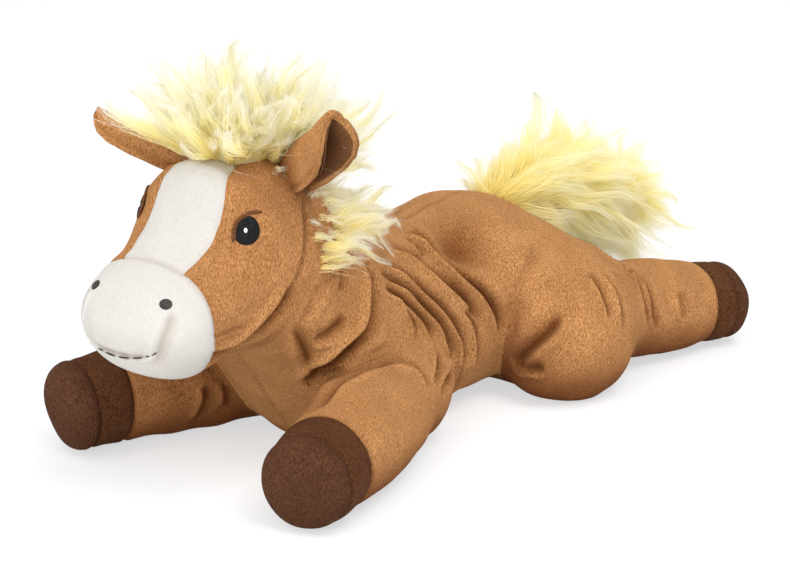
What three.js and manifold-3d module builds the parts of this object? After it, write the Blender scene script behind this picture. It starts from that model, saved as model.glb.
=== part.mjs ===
// A stuffed plush horse that lies on its belly, with its legs spread and its head up.
// Millimetres. The origin is the middle of the belly's rest face on the floor plane z = 0.
// The horse faces -Y, its left is +X and +Z is up.
import * as THREE from "three";
import { mergeVertices } from "three/addons/utils/BufferGeometryUtils.js";
import Module from "manifold-3d";

const wasm = await Module();
wasm.setup();

// Fabric and clearances
const plushThickness = 2.4;
const liningThickness = 1.4;
const threadThickness = 0.9;
const seamGap = 0.35;
const seatGap = 0.5;
const floorSink = 0.5;
const cutOverrun = 60;

// Trunk, from the front of the neck to the rump
const neckReach = 146;
const rumpReach = 104;
const trunkHalfWidth = 50;
const napeRise = 30;
const gussetHalfWidth = 18;
const gussetHalfLength = 58;
const gussetDepth = 9;

// Head, a round cranium that carries a long muzzle
const headSetBack = 32;
const craniumForward = neckReach - headSetBack;
const craniumHeight = 104;
const craniumRadius = 43.5;
const crownRise = 50;
const muzzleReach = 85;
const muzzleSeamReach = 55;
const neckRimForward = 5;
const blazeHalfWidth = 21;
const blazeBack = 8;

// Face embroidery
const eyeHeight = 14;
const eyeWidth = 10.5;
const highlightRadius = 1.4;
const lashWidth = 1.6;
const nostrilRadius = 2.7;
const nostrilHalfSpread = 21;
const nostrilForward = 11;
const nostrilRise = 14;
const mouthHalfWidth = 17;
const mouthSag = 3.6;
const mouthThread = 1.3;

// Ears
const earLength = 48;
const earHalfWidth = 16;
const earRootRadius = 8.5;
const earRootSink = 2.5;
const earFoldRadius = 13.5;

// Mane and tail, faux fur strips as plain masses
const forelockHalfWidth = 35;
const forelockHeight = 34;
const forelockLength = 80;
const forelockRise = 16;
const neckManeHalfWidth = 14;
const neckManeHeight = 12;
const neckManeLength = 60;
const tailLength = 138;
const tailHalfWidth = 22;
const tailHalfHeight = 25;
const tailDroop = 52;
const tailRootRadius = 11;
const tailRootInset = 16;
const tailRootHeight = 86;

// Legs and hooves
const hoofRadius = 21.7;
const frontHoofLength = 32;
const hindHoofLength = 27;
const soleDepth = 13;
const hoofBulge = 0.8;
const coreOverlap = 6;
const shoulderOut = 33;
const shoulderForward = 42;
const shoulderRadius = 26.5;
const frontSoleOut = 76;
const frontSoleForward = 163;
const frontLegRadius = 25.5;
const frontLegBow = 9;
const hipOut = 46;
const hipBack = 76;
const hipRadius = 35;
const stifleOut = 61;
const stifleBack = 54;
const stifleRadius = 27;
const hindSoleOut = 82;
const hindSoleBack = 194;
const hindLegRadius = 26;
const hindLegBow = 6;

// Angles, in degrees
const headPitch = 17;
const neckRimPitch = 28;
const headTurn = 15;
const legSpread = 20;
const earFlop = 15;
const tailLift = 35;
const eyeYaw = 49;
const eyeLift = 29;
const eyeTilt = 14;
const mouthPitch = 24;
const muzzleSeamPitch = 5;
const earRootLift = 52;
const earRootBack = 13;
const leftEarPose = { lift: 37, sweep: -10, roll: -132 };
const rightEarPose = { lift: 25, sweep: -33, roll: 102 };

const COLOURS = {
  brown: 0xb9814f,
  lining: 0x8f5c35,
  cream: 0xf3efe8,
  hoof: 0x5b3b2c,
  fur: 0xf4e6a0,
  black: 0x1c1c1e,
  lash: 0x5a2f16,
  white: 0xffffff,
  thread: 0x2c2826,
  filling: 0xf5f5f2,
};

const degrees = THREE.MathUtils.degToRad;
const vector = (x, y, z) => new THREE.Vector3(x, y, z);
const ACROSS = vector(1, 0, 0);
const UP = vector(0, 0, 1);
const SIDES = { left: 1, right: -1 };

// Solids

// A closed BufferGeometry as a solid with its faces out and its shared vertices merged.
function solidOf(geometry) {
  const bare = geometry.index ? geometry.toNonIndexed() : geometry.clone();
  bare.deleteAttribute("normal");
  bare.deleteAttribute("uv");
  const merged = mergeVertices(bare, 1e-4);
  const vertProperties = new Float32Array(merged.attributes.position.array);
  const triVerts = new Uint32Array(merged.index.array);
  const solid = new wasm.Manifold(new wasm.Mesh({ numProp: 3, vertProperties, triVerts }));
  if (solid.volume() >= 0) return solid;
  for (let i = 0; i < triVerts.length; i += 3) {
    [triVerts[i + 1], triVerts[i + 2]] = [triVerts[i + 2], triVerts[i + 1]];
  }
  return new wasm.Manifold(new wasm.Mesh({ numProp: 3, vertProperties, triVerts }));
}

// The largest body of a solid, without the slivers that a cut leaves loose.
function largestBody(solid) {
  return solid.decompose().reduce((a, b) => (b.volume() > a.volume() ? b : a));
}

function unite(solids) {
  return solids.reduce((a, b) => a.add(b));
}

function box(low, high) {
  const size = vector().subVectors(high, low);
  const middle = vector().addVectors(high, low).multiplyScalar(0.5);
  const geometry = new THREE.BoxGeometry(size.x, size.y, size.z);
  return solidOf(geometry.translate(middle.x, middle.y, middle.z));
}

function ball(centre, radius, sides = 16) {
  const geometry = new THREE.SphereGeometry(radius, sides, sides / 2);
  return solidOf(geometry.translate(centre.x, centre.y, centre.z));
}

// The room that a ball needs, with its facets clear of the facets of any turned ball.
const facetShare = 0.018;
const ballRoom = (centre, radius) => ball(centre, radius * (1 + facetShare) + seatGap, 20);

// A puck with round edges about an upright axis, which is the root of a leg.
function puck(centre, radius, sides = 16) {
  const profile = Array.from({ length: 7 }, (unused, i) => {
    const angle = Math.PI * (i / 6 - 0.5);
    return new THREE.Vector2(radius * squared(Math.cos(angle), 2.6), radius * squared(Math.sin(angle), 2.6));
  });
  const geometry = new THREE.LatheGeometry(profile, sides).rotateX(Math.PI / 2);
  return solidOf(geometry.translate(centre.x, centre.y, centre.z));
}

// A solid turned about an axis through a point.
function turned(solid, pivot, axis, angle) {
  const matrix = new THREE.Matrix4()
    .makeTranslation(pivot.x, pivot.y, pivot.z)
    .multiply(new THREE.Matrix4().makeRotationAxis(axis, degrees(angle)))
    .multiply(new THREE.Matrix4().makeTranslation(-pivot.x, -pivot.y, -pivot.z));
  return solid.transform(matrix.elements);
}

// Copies of a solid at even steps between two angles, joined.
function swept(solid, pivot, axis, low, high, steps) {
  const copies = [];
  for (let i = 0; i <= steps; i += 1) copies.push(turned(solid, pivot, axis, low + ((high - low) * i) / steps));
  return unite(copies);
}

// A left piece as it is, or mirrored to the right.
const onSide = (solid, side) => (SIDES[side] > 0 ? solid : solid.mirror([1, 0, 0]));

const napeHeight = craniumHeight + napeRise;
const farAway = neckReach + hindSoleBack + cutOverrun;

function aboveFloor(solid, inset = 0) {
  return solid.subtract(box(vector(-farAway, -farAway, -farAway), vector(farAway, farAway, inset)));
}

// Everything on one side of the middle seam.
const half = (side) => box(
  vector(SIDES[side] > 0 ? seamGap / 2 : -farAway, -farAway, -farAway),
  vector(SIDES[side] > 0 ? farAway : -seamGap / 2, farAway, farAway),
);

// A thick slab square to a direction, from a near to a far distance beyond a point.
function slab(point, direction, near, far = farAway) {
  const shape = new THREE.BoxGeometry(farAway, farAway, far - near).translate(0, 0, (near + far) / 2);
  shape.applyQuaternion(new THREE.Quaternion().setFromUnitVectors(UP, direction));
  return solidOf(shape.translate(point.x, point.y, point.z));
}

// Stuffed forms

// A smooth curve through hand-chosen [share, value] pairs.
function curveThrough(points) {
  const last = points.length - 1;
  const slope = points.map((point, i) => {
    const before = points[Math.max(i - 1, 0)];
    const after = points[Math.min(i + 1, last)];
    return (after[1] - before[1]) / (after[0] - before[0]);
  });
  return (share) => {
    const next = points.findIndex((point) => point[0] > share);
    const k = next < 0 ? last - 1 : Math.max(next - 1, 0);
    const span = points[k + 1][0] - points[k][0];
    const t = THREE.MathUtils.clamp((share - points[k][0]) / span, 0, 1);
    const start = points[k][1] + slope[k] * span * t;
    const end = points[k + 1][1] - slope[k + 1] * span * (1 - t);
    const blend = t * t * (3 - 2 * t);
    return start * (1 - blend) + end * blend;
  };
}

// The stations of a form: close together in its round ends, even between them.
function stations({ startCap, endCap, capSteps, middleSteps }, detail) {
  const caps = Math.ceil(capSteps * detail);
  const middle = Math.ceil(middleSteps * detail);
  const inCap = (i) => 1 - Math.cos((Math.PI / 2) * (i / caps));
  const list = [];
  for (let i = 1; i <= caps; i += 1) list.push(startCap * inCap(i));
  for (let i = 1; i < middle; i += 1) list.push(startCap + ((1 - startCap - endCap) * i) / middle);
  for (let i = caps; i >= 1; i -= 1) list.push(1 - endCap * inCap(i));
  return list;
}

// How full a form is at a share of its length: 0 at its poles, 1 past its round ends.
function fullness(share, { startCap, endCap }) {
  const start = Math.max(1 - share / startCap, 0);
  const end = Math.max(1 - (1 - share) / endCap, 0);
  return Math.sqrt(1 - start * start) * Math.sqrt(1 - end * end);
}

const squared = (value, power) => Math.sign(value) * Math.abs(value) ** (2 / power);

// A closed solid through rings of points, with a pole at each end.
function ringSolid(rings, startPole, endPole) {
  const sides = rings[0].length;
  const points = [startPole, ...rings.flat(), endPole];
  const index = [];
  const at = (ring, side) => 1 + ring * sides + (side % sides);
  for (let s = 0; s < sides; s += 1) {
    index.push(0, at(0, s + 1), at(0, s));
    for (let r = 0; r + 1 < rings.length; r += 1) {
      index.push(at(r, s), at(r, s + 1), at(r + 1, s + 1));
      index.push(at(r, s), at(r + 1, s + 1), at(r + 1, s));
    }
    index.push(points.length - 1, at(rings.length - 1, s), at(rings.length - 1, s + 1));
  }
  const geometry = new THREE.BufferGeometry().setFromPoints(points);
  geometry.setIndex(index);
  return solidOf(geometry);
}

// A stuffed form along a spine. Its section(share) gives the centre, the side and up
// directions, the half-width, the rise over the centre and the drop under it, and
// how far it narrows towards the top. An inset moves the whole surface inwards, and
// a negative one outwards. Hidden surfaces take less detail.
function stuffedForm(form, inset = 0, detail = 1) {
  const { section } = form;
  const sides = 2 * Math.ceil((form.sides * detail) / 2);
  const squeeze = inset / form.length;
  const place = (share) => squeeze + share * (1 - 2 * squeeze);
  const least = plushThickness / 2;
  const rings = stations(form, detail).map((share) => {
    const full = fullness(share, form);
    const here = section(share);
    const power = here.power ?? form.power;
    const { centre } = section(place(share));
    const halfWidth = Math.max(here.halfWidth * full - inset, least);
    const rise = Math.max(here.rise * full - inset, least);
    const drop = Math.max(here.drop * full - inset, least);
    return Array.from({ length: sides }, (unused, s) => {
      const angle = (2 * Math.PI * s) / sides;
      const across = squared(Math.cos(angle), power);
      const height = squared(Math.sin(angle), power);
      const narrowing = 1 - (here.taper ?? 0) * height;
      return centre
        .clone()
        .addScaledVector(here.side, across * halfWidth * narrowing)
        .addScaledVector(here.up, height * (height > 0 ? rise : drop));
    });
  });
  return ringSolid(rings, section(place(0)).centre, section(place(1)).centre);
}

const hiddenDetail = 0.5;
const hiddenForm = (form, inset) => stuffedForm(form, inset, hiddenDetail);

// Trunk and neck

// Heights of the back and the belly along the trunk, as shares of the nape's height,
// and its widths as shares of its greatest half-width.
const backShares = [[0, 0.66], [0.03, 0.76], [0.1, 0.92], [0.16, 1], [0.23, 1], [0.3, 0.9],
  [0.38, 0.79], [0.48, 0.705], [0.59, 0.7], [0.7, 0.725], [0.82, 0.72], [0.92, 0.66], [1, 0.58]];
const bellyShares = [[0, 0.52], [0.05, 0.5], [0.1, 0.43], [0.15, 0.33], [0.19, 0.22], [0.23, 0.11],
  [0.27, 0.03], [0.3, 0], [0.6, 0], [0.88, 0], [0.94, 0.04], [1, 0.14]];
const trunkWidthShares = [[0, 0.7], [0.1, 0.86], [0.2, 0.9], [0.3, 0.95], [0.45, 0.95],
  [0.6, 0.92], [0.72, 0.93], [0.85, 1], [1, 0.98]];
const trunkTaperShares = [[0, 0.05], [0.2, 0.08], [0.35, 0.16], [0.5, 0.12], [1, 0.1]];

function trunkForm() {
  const back = curveThrough(backShares);
  const belly = curveThrough(bellyShares);
  const width = curveThrough(trunkWidthShares);
  const taper = curveThrough(trunkTaperShares);
  const length = neckReach + rumpReach;
  return {
    length,
    startCap: 0.12,
    endCap: 0.16,
    capSteps: 4,
    middleSteps: 9,
    sides: 22,
    power: 2.25,
    section: (share) => {
      const top = back(share) * napeHeight;
      const bottom = Math.max(belly(share), 0) * napeHeight - floorSink;
      return {
        centre: vector(0, share * length - neckReach, (top + bottom) / 2),
        side: ACROSS,
        up: UP,
        halfWidth: width(share) * trunkHalfWidth,
        rise: (top - bottom) / 2,
        drop: (top - bottom) / 2,
        taper: taper(share),
      };
    },
  };
}

// Head

const craniumCentre = vector(0, -craniumForward, craniumHeight);
const pitched = (angle) => vector(0, -Math.cos(degrees(angle)), Math.sin(degrees(angle)));
const headAxis = pitched(-headPitch);
const headUp = pitched(90 - headPitch);
const neckRimAxis = pitched(neckRimPitch);
const muzzleSeamAxis = pitched(-muzzleSeamPitch);

// The face in front of the cranium's centre, by shares of the muzzle's reach. The top is
// in shares of the crown's rise, and the jaw and the width of the cranium's radius.
const faceTopShares = [[0, 1], [0.08, 1.02], [0.16, 1], [0.24, 0.88], [0.33, 0.71], [0.46, 0.59],
  [0.62, 0.49], [0.8, 0.42], [1, 0.38]];
const jawShares = [[0, 1], [0.2, 0.9], [0.4, 0.7], [0.6, 0.62], [0.8, 0.6], [1, 0.56]];
const faceWidthShares = [[0, 1], [0.12, 1.02], [0.22, 1], [0.4, 0.89], [0.6, 0.83], [0.8, 0.83], [1, 0.78]];
const muzzlePower = 2.4;

function headForm() {
  const faceTop = curveThrough(faceTopShares);
  const jaw = curveThrough(jawShares);
  const faceWidth = curveThrough(faceWidthShares);
  const length = craniumRadius + muzzleReach;
  return {
    length,
    startCap: craniumRadius / length,
    endCap: 0.2,
    capSteps: 6,
    middleSteps: 7,
    sides: 24,
    section: (share) => {
      const forward = share * length - craniumRadius;
      const face = Math.max(forward / muzzleReach, 0);
      return {
        centre: craniumCentre.clone().addScaledVector(headAxis, forward),
        side: ACROSS,
        up: headUp,
        halfWidth: craniumRadius * faceWidth(face),
        rise: crownRise * faceTop(face),
        drop: craniumRadius * jaw(face),
        power: THREE.MathUtils.lerp(2, muzzlePower, Math.min(face * 3, 1)),
      };
    },
  };
}

// Legs

// A left leg with the ball of its joint at the root, lying on the floor.
function makeLeg({ pivot, radius, soleAt, legRadius, bend, turn, bulges, hoofLength }) {
  const middle = vector().addVectors(pivot, soleAt).multiplyScalar(0.5);
  const knee = middle.clone().setX(middle.x + bend).setZ(legRadius - floorSink);
  const curve = new THREE.QuadraticBezierCurve3(pivot, knee, soleAt);
  const girth = curveThrough([[0, radius * 0.95], [0.3, legRadius * 1.03], [0.55, legRadius],
    [0.8, hoofRadius * 1.02], [1, hoofRadius]]);
  const along = vector().subVectors(soleAt, knee).setZ(0).normalize();
  const form = {
    length: pivot.distanceTo(soleAt),
    startCap: 0.16,
    endCap: 0.02,
    capSteps: 2,
    middleSteps: 6,
    sides: 16,
    power: 2.1,
    section: (share) => {
      const centre = curve.getPoint(share);
      const tangent = curve.getTangent(share).setZ(0).normalize();
      return {
        centre,
        side: vector().crossVectors(tangent, UP),
        up: UP,
        halfWidth: girth(share),
        rise: girth(share),
        drop: centre.z + floorSink,
      };
    },
  };
  return { pivot, radius, soleAt, turn, along, form, bulges, hoofLength };
}

const LEGS = {
  front: makeLeg({
    pivot: vector(shoulderOut, -shoulderForward, shoulderRadius - floorSink),
    radius: shoulderRadius,
    soleAt: vector(frontSoleOut, -frontSoleForward, hoofRadius),
    legRadius: frontLegRadius,
    bend: frontLegBow,
    turn: legSpread,
    hoofLength: frontHoofLength,
    bulges: [],
  }),
  hind: makeLeg({
    pivot: vector(hipOut, hipBack, hipRadius - floorSink),
    radius: hipRadius,
    soleAt: vector(hindSoleOut, hindSoleBack, hoofRadius),
    legRadius: hindLegRadius,
    bend: -hindLegBow,
    turn: -legSpread,
    hoofLength: hindHoofLength,
    bulges: [[vector(stifleOut, stifleBack, stifleRadius - floorSink), stifleRadius]],
  }),
};

// A left leg down to its sole, with its surface moved in by an inset.
function legSolid({ form, pivot, radius, bulges }, inset) {
  const detail = inset > 0 ? hiddenDetail : 1;
  const sides = inset > 0 ? 10 : 16;
  const balls = bulges.map(([centre, size]) => ball(centre, size - inset, sides));
  return unite([stuffedForm(form, inset, detail), puck(pivot, radius - inset, sides), ...balls]);
}

// The room that a left leg needs in the trunk as it spreads.
function legRoom(leg) {
  const limb = unite([
    stuffedForm(leg.form, -seatGap),
    ...leg.bulges.map(([centre, size]) => ball(centre, size * (1 + facetShare) + seamGap)),
  ]);
  const root = puck(leg.pivot, leg.radius * (1 + facetShare) + seamGap);
  return root.add(swept(limb, leg.pivot, UP, 0, leg.turn, 2));
}

// A turned piece of a hoof: [radius, depth behind the sole] pairs about the leg's line.
function hoofTurning(leg, profile) {
  const geometry = new THREE.LatheGeometry(profile.map(([radius, depth]) => new THREE.Vector2(radius, depth)), 16);
  const backwards = leg.along.clone().negate();
  geometry.applyQuaternion(new THREE.Quaternion().setFromUnitVectors(vector(0, 1, 0), backwards));
  return aboveFloor(solidOf(geometry.translate(leg.soleAt.x, leg.soleAt.y, leg.soleAt.z)));
}

const hoofOutside = hoofRadius + floorSink;
const hoofInside = hoofOutside - plushThickness;
const domePower = 2.5;

// The bulging end of a hoof at a distance inside its surface, from its rim to its pole.
function hoofDome(inset) {
  const steps = 3;
  return Array.from({ length: steps + 1 }, (unused, step) => {
    const angle = (Math.PI / 2) * (step / steps);
    return [
      (hoofOutside - inset) * squared(Math.cos(angle), domePower),
      soleDepth - (soleDepth - inset) * squared(Math.sin(angle), domePower),
    ];
  });
}

function hoofWall(leg) {
  const rim = soleDepth + seamGap;
  return hoofTurning(leg, [
    [hoofOutside, leg.hoofLength],
    [hoofOutside + hoofBulge, (leg.hoofLength + rim) / 2],
    [hoofOutside, rim],
    [hoofInside, rim],
    [hoofInside, leg.hoofLength],
    [hoofOutside, leg.hoofLength],
  ]);
}

function hoofSole() {
  return [...hoofDome(0), ...hoofDome(plushThickness).reverse(), hoofDome(0)[0]];
}

// The stuffing that a hoof holds, past the mouth of the sleeve.
function hoofCore(leg) {
  const girth = hoofInside - seamGap * 2;
  return hoofTurning(leg, [
    [0, leg.hoofLength + coreOverlap],
    [girth - plushThickness, leg.hoofLength + coreOverlap],
    [girth - plushThickness, leg.hoofLength - coreOverlap / 2],
    [girth, leg.hoofLength - coreOverlap],
    ...hoofDome(hoofOutside - girth),
  ]);
}

function buildLeg(leg) {
  const beyond = (depth) => slab(leg.soleAt, leg.along, -depth);
  const skin = legSolid(leg, 0).subtract(legSolid(leg, plushThickness));
  const stuffing = legSolid(leg, plushThickness + seamGap).subtract(beyond(leg.hoofLength + coreOverlap / 2));
  return {
    sleeve: largestBody(aboveFloor(skin.subtract(beyond(leg.hoofLength + seamGap)))),
    hoof_wall: hoofWall(leg),
    hoof_sole: hoofTurning(leg, hoofSole()),
    filling: largestBody(aboveFloor(stuffing.add(hoofCore(leg)), plushThickness + seamGap)),
  };
}

// Ears

// Each ear's direction as a lift over the horizon and a sweep towards the back, with
// its roll, because soft ears never sit alike. The right ear is built as a left one.
function makeEar({ lift, sweep, roll }) {
  const rootOn = vector(
    Math.cos(degrees(earRootLift)) * Math.cos(degrees(earRootBack)),
    Math.cos(degrees(earRootLift)) * Math.sin(degrees(earRootBack)),
    Math.sin(degrees(earRootLift)),
  );
  const root = craniumCentre.clone().addScaledVector(rootOn, craniumRadius + earRootRadius - earRootSink);
  const along = vector(
    Math.cos(degrees(lift)) * Math.cos(degrees(sweep)),
    Math.cos(degrees(lift)) * Math.sin(degrees(sweep)),
    Math.sin(degrees(lift)),
  );
  const back = vector(0, 1, 0).addScaledVector(along, -along.y).normalize();
  const opening = back.applyAxisAngle(along, degrees(roll));
  return { root, along, opening, side: vector().crossVectors(opening, along) };
}

const EARS = { left: makeEar(leftEarPose), right: makeEar(rightEarPose) };
const earShares = [[0, 0.6], [0.25, 0.9], [0.5, 1], [0.75, 0.86], [0.92, 0.6], [1, 0.3]];

// A leaf of fabric folded about the ear's line, between two depths behind its face.
function earLeaf(ear, near, far, start) {
  const width = curveThrough(earShares);
  const [rows, columns] = [6, 6];
  const strip = (share, depth) => {
    const half = width(share) * earHalfWidth - depth * 0.5;
    const reach = half / earFoldRadius;
    const centre = ear.root
      .clone()
      .addScaledVector(ear.along, start + (earLength - start - depth * 0.5) * share)
      .addScaledVector(ear.opening, earFoldRadius * 0.45);
    return Array.from({ length: columns + 1 }, (unused, c) => {
      const angle = reach * ((2 * c) / columns - 1);
      const radius = earFoldRadius - depth;
      return centre
        .clone()
        .addScaledVector(ear.side, Math.sin(angle) * radius)
        .addScaledVector(ear.opening, -Math.cos(angle) * radius);
    });
  };
  const rings = Array.from({ length: rows + 1 }, (unused, r) => {
    const share = r / rows;
    return [...strip(share, near), ...strip(share, far).reverse()];
  });
  return stripSolid(rings, columns + 1);
}

// A closed solid through flat folded sections, each an outer strip and then an inner
// strip backwards, with its two ends closed strip to strip.
function stripSolid(rings, columns) {
  const sides = rings[0].length;
  const index = [];
  const at = (ring, side) => ring * sides + (side % sides);
  for (let s = 0; s < sides; s += 1) {
    for (let r = 0; r + 1 < rings.length; r += 1) {
      index.push(at(r, s), at(r, s + 1), at(r + 1, s + 1));
      index.push(at(r, s), at(r + 1, s + 1), at(r + 1, s));
    }
  }
  const close = (ring, flip) => {
    for (let c = 0; c + 1 < columns; c += 1) {
      const [a, b] = [at(ring, c), at(ring, c + 1)];
      const [d, e] = [at(ring, sides - 1 - c), at(ring, sides - 2 - c)];
      index.push(...(flip ? [a, e, b, a, d, e] : [a, b, e, a, e, d]));
    }
  };
  close(0, true);
  close(rings.length - 1, false);
  const geometry = new THREE.BufferGeometry().setFromPoints(rings.flat());
  geometry.setIndex(index);
  return solidOf(geometry);
}

function buildEar(ear) {
  const outer = earLeaf(ear, 0, plushThickness, 0).add(ball(ear.root, earRootRadius));
  const inner = plushThickness + seamGap;
  const lining = earLeaf(ear, inner, inner + liningThickness, earRootRadius + seamGap);
  return { shell: outer, lining: lining.subtract(ball(ear.root, earRootRadius + seamGap)) };
}

// The line that an ear flops about: square to the ear, along its seam with the head.
const earHinge = vector(0, 1, 0);

function earRoom(ear) {
  const leaf = earLeaf(ear, -2 * seamGap, plushThickness + liningThickness + 3 * seamGap, -seatGap);
  return ballRoom(ear.root, earRootRadius).add(swept(leaf, ear.root, earHinge, -earFlop, earFlop, 6));
}

// Mane and tail

function forelockForm() {
  const rise = curveThrough([[0, 0.5], [0.3, 0.85], [0.55, 1], [0.8, 0.9], [1, 0.5]]);
  const crown = craniumHeight + crownRise;
  return {
    length: forelockLength,
    startCap: 0.3,
    endCap: 0.35,
    capSteps: 3,
    middleSteps: 4,
    sides: 14,
    power: 2,
    section: (share) => ({
      centre: vector(0, -craniumForward - forelockLength * (0.46 - share), crown + forelockRise * (1 - 1.4 * share)),
      side: ACROSS,
      up: UP,
      halfWidth: forelockHalfWidth,
      rise: forelockHeight * rise(share),
      drop: craniumRadius * 0.42,
      taper: -0.1,
    }),
  };
}

function neckManeForm(trunk) {
  const length = neckReach + rumpReach;
  const first = neckReach - craniumForward + craniumRadius * 0.55;
  return {
    length: neckManeLength,
    startCap: 0.25,
    endCap: 0.45,
    capSteps: 3,
    middleSteps: 3,
    sides: 10,
    power: 2,
    section: (share) => {
      const { centre, rise } = trunk.section((first + neckManeLength * share) / length);
      return {
        centre: centre.clone().setZ(centre.z + rise - neckManeHeight * 0.4),
        side: ACROSS,
        up: UP,
        halfWidth: neckManeHalfWidth,
        rise: neckManeHeight * 1.4,
        drop: neckManeHeight,
      };
    },
  };
}

const tailRootBack = rumpReach - tailRootInset;
const tailRoot = vector(0, tailRootBack, tailRootHeight);

function tailForm() {
  const curve = new THREE.QuadraticBezierCurve3(
    tailRoot,
    vector(0, tailRootBack + tailLength * 0.55, tailRootHeight + tailDroop * 0.15),
    vector(0, tailRootBack + tailLength, tailRootHeight - tailDroop),
  );
  const girth = curveThrough([[0, 0.55], [0.25, 0.85], [0.5, 1], [0.75, 0.95], [1, 0.7]]);
  return {
    length: tailLength,
    startCap: 0.12,
    endCap: 0.3,
    capSteps: 3,
    middleSteps: 4,
    sides: 14,
    power: 2,
    section: (share) => ({
      centre: curve.getPoint(share),
      side: ACROSS,
      up: vector().crossVectors(ACROSS, curve.getTangent(share)).normalize(),
      halfWidth: tailHalfWidth * girth(share),
      rise: tailHalfHeight * girth(share),
      drop: tailHalfHeight * girth(share),
    }),
  };
}

// Face embroidery: patches of a thin layer over the head's surface

// A prism from a point outwards along a direction, turned about it by a tilt.
function faceTool(shape, origin, direction, tilt = 0) {
  const right = vector().crossVectors(UP, direction).normalize();
  const basis = new THREE.Matrix4().makeBasis(right, vector().crossVectors(direction, right), direction);
  const geometry = new THREE.ExtrudeGeometry(shape, {
    depth: craniumRadius + cutOverrun,
    bevelEnabled: false,
    curveSegments: 4,
  });
  geometry.rotateZ(degrees(tilt));
  geometry.applyMatrix4(basis.setPosition(origin));
  return solidOf(geometry);
}

function ellipseShape(halfWidth, halfHeight) {
  const shape = new THREE.Shape();
  shape.absellipse(0, 0, halfWidth, halfHeight, 0, 2 * Math.PI);
  return shape;
}

// A band between two ellipses about the eye, from one angle to another.
function bandShape(halfWidth, halfHeight, width, from, to) {
  const point = (angle, more) => new THREE.Vector2(
    (halfWidth + more) * Math.cos(degrees(angle)),
    (halfHeight + more) * Math.sin(degrees(angle)),
  );
  const angles = Array.from({ length: 7 }, (unused, i) => from + ((to - from) * i) / 6);
  return new THREE.Shape([
    ...angles.map((angle) => point(angle, 0)),
    ...angles.reverse().map((angle) => point(angle, width)),
  ]);
}

const eyeDirection = vector(
  Math.sin(degrees(eyeYaw)) * Math.cos(degrees(eyeLift)),
  -Math.cos(degrees(eyeYaw)) * Math.cos(degrees(eyeLift)),
  Math.sin(degrees(eyeLift)),
);
const muzzleCentre = craniumCentre.clone().addScaledVector(headAxis, muzzleReach * 0.7);
const nostrilDirection = vector(nostrilHalfSpread, -nostrilForward, nostrilRise).normalize();
const mouthDirection = pitched(-mouthPitch);

// Assembly

const group = new THREE.Group();

function addPiece(name, solid, colour, roughness = 0.95) {
  const { vertProperties, triVerts } = solid.getMesh();
  const geometry = new THREE.BufferGeometry();
  geometry.setAttribute("position", new THREE.BufferAttribute(vertProperties, 3));
  geometry.setIndex(new THREE.BufferAttribute(triVerts, 1));
  const material = new THREE.MeshStandardMaterial({ color: COLOURS[colour], roughness, metalness: 0 });
  const mesh = new THREE.Mesh(geometry, material);
  mesh.name = name;
  group.add(mesh);
}

const trunk = trunkForm();
const head = headForm();
const tail = stuffedForm(tailForm()).add(ball(tailRoot, tailRootRadius, 12));
const forelock = stuffedForm(forelockForm());

// The room that the head, the legs and the tail need in the trunk as they move.
const neckRim = slab(craniumCentre, neckRimAxis, neckRimForward);
const headRoom = unite([
  ballRoom(craniumCentre, craniumRadius),
  swept(stuffedForm(head, -seatGap), craniumCentre, UP, -headTurn, headTurn, 2),
]);
const tailRoom = unite([
  ballRoom(tailRoot, tailRootRadius),
  swept(stuffedForm(tailForm(), -seamGap), tailRoot, ACROSS, 0, tailLift, 2),
]);
const legRooms = Object.values(LEGS).flatMap((leg) => Object.keys(SIDES).map((side) => onSide(legRoom(leg), side)));
const limbRoom = unite([neckRim, headRoom, tailRoom, ...legRooms]);

function buildTrunk() {
  const skin = stuffedForm(trunk).subtract(hiddenForm(trunk, plushThickness));
  const cover = aboveFloor(skin.subtract(limbRoom));
  const gussetTool = (gap) => box(
    vector(-gussetHalfWidth - gap, -gussetHalfLength - gap, -floorSink),
    vector(gussetHalfWidth + gap, gussetHalfLength + gap, gussetDepth),
  );
  const sides = cover.subtract(gussetTool(seamGap));
  const filling = hiddenForm(trunk, plushThickness + seamGap).subtract(limbRoom);
  for (const side of Object.keys(SIDES)) {
    addPiece(`trunk_${side}_panel`, largestBody(sides.intersect(half(side))), "brown");
  }
  addPiece("belly_gusset", largestBody(cover.intersect(gussetTool(0))), "brown");
  addPiece("trunk_filling", largestBody(aboveFloor(filling, plushThickness + seamGap)), "filling");
}

// The blaze runs down the forehead between two curved seams, narrow under the forelock,
// widest between the eyes and narrower again at the muzzle.
const blazeShares = [[0, 0.36], [0.2, 0.8], [0.4, 1], [0.6, 0.92], [0.8, 0.82], [1, 0.78]];

function blazeTool(gap) {
  const width = curveThrough(blazeShares);
  const steps = 10;
  const edge = (sign) => Array.from({ length: steps + 1 }, (unused, step) => new THREE.Vector2(
    sign * (blazeHalfWidth * width(step / steps) + gap),
    (muzzleReach + blazeBack) * (step / steps) - blazeBack - gap,
  ));
  const shape = new THREE.Shape([...edge(1), ...edge(-1).reverse()]);
  const geometry = new THREE.ExtrudeGeometry(shape, { depth: crownRise + cutOverrun, bevelEnabled: false });
  const basis = new THREE.Matrix4().makeBasis(ACROSS.clone().negate(), headAxis, headUp);
  geometry.applyMatrix4(basis.setPosition(craniumCentre));
  return solidOf(geometry);
}

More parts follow.
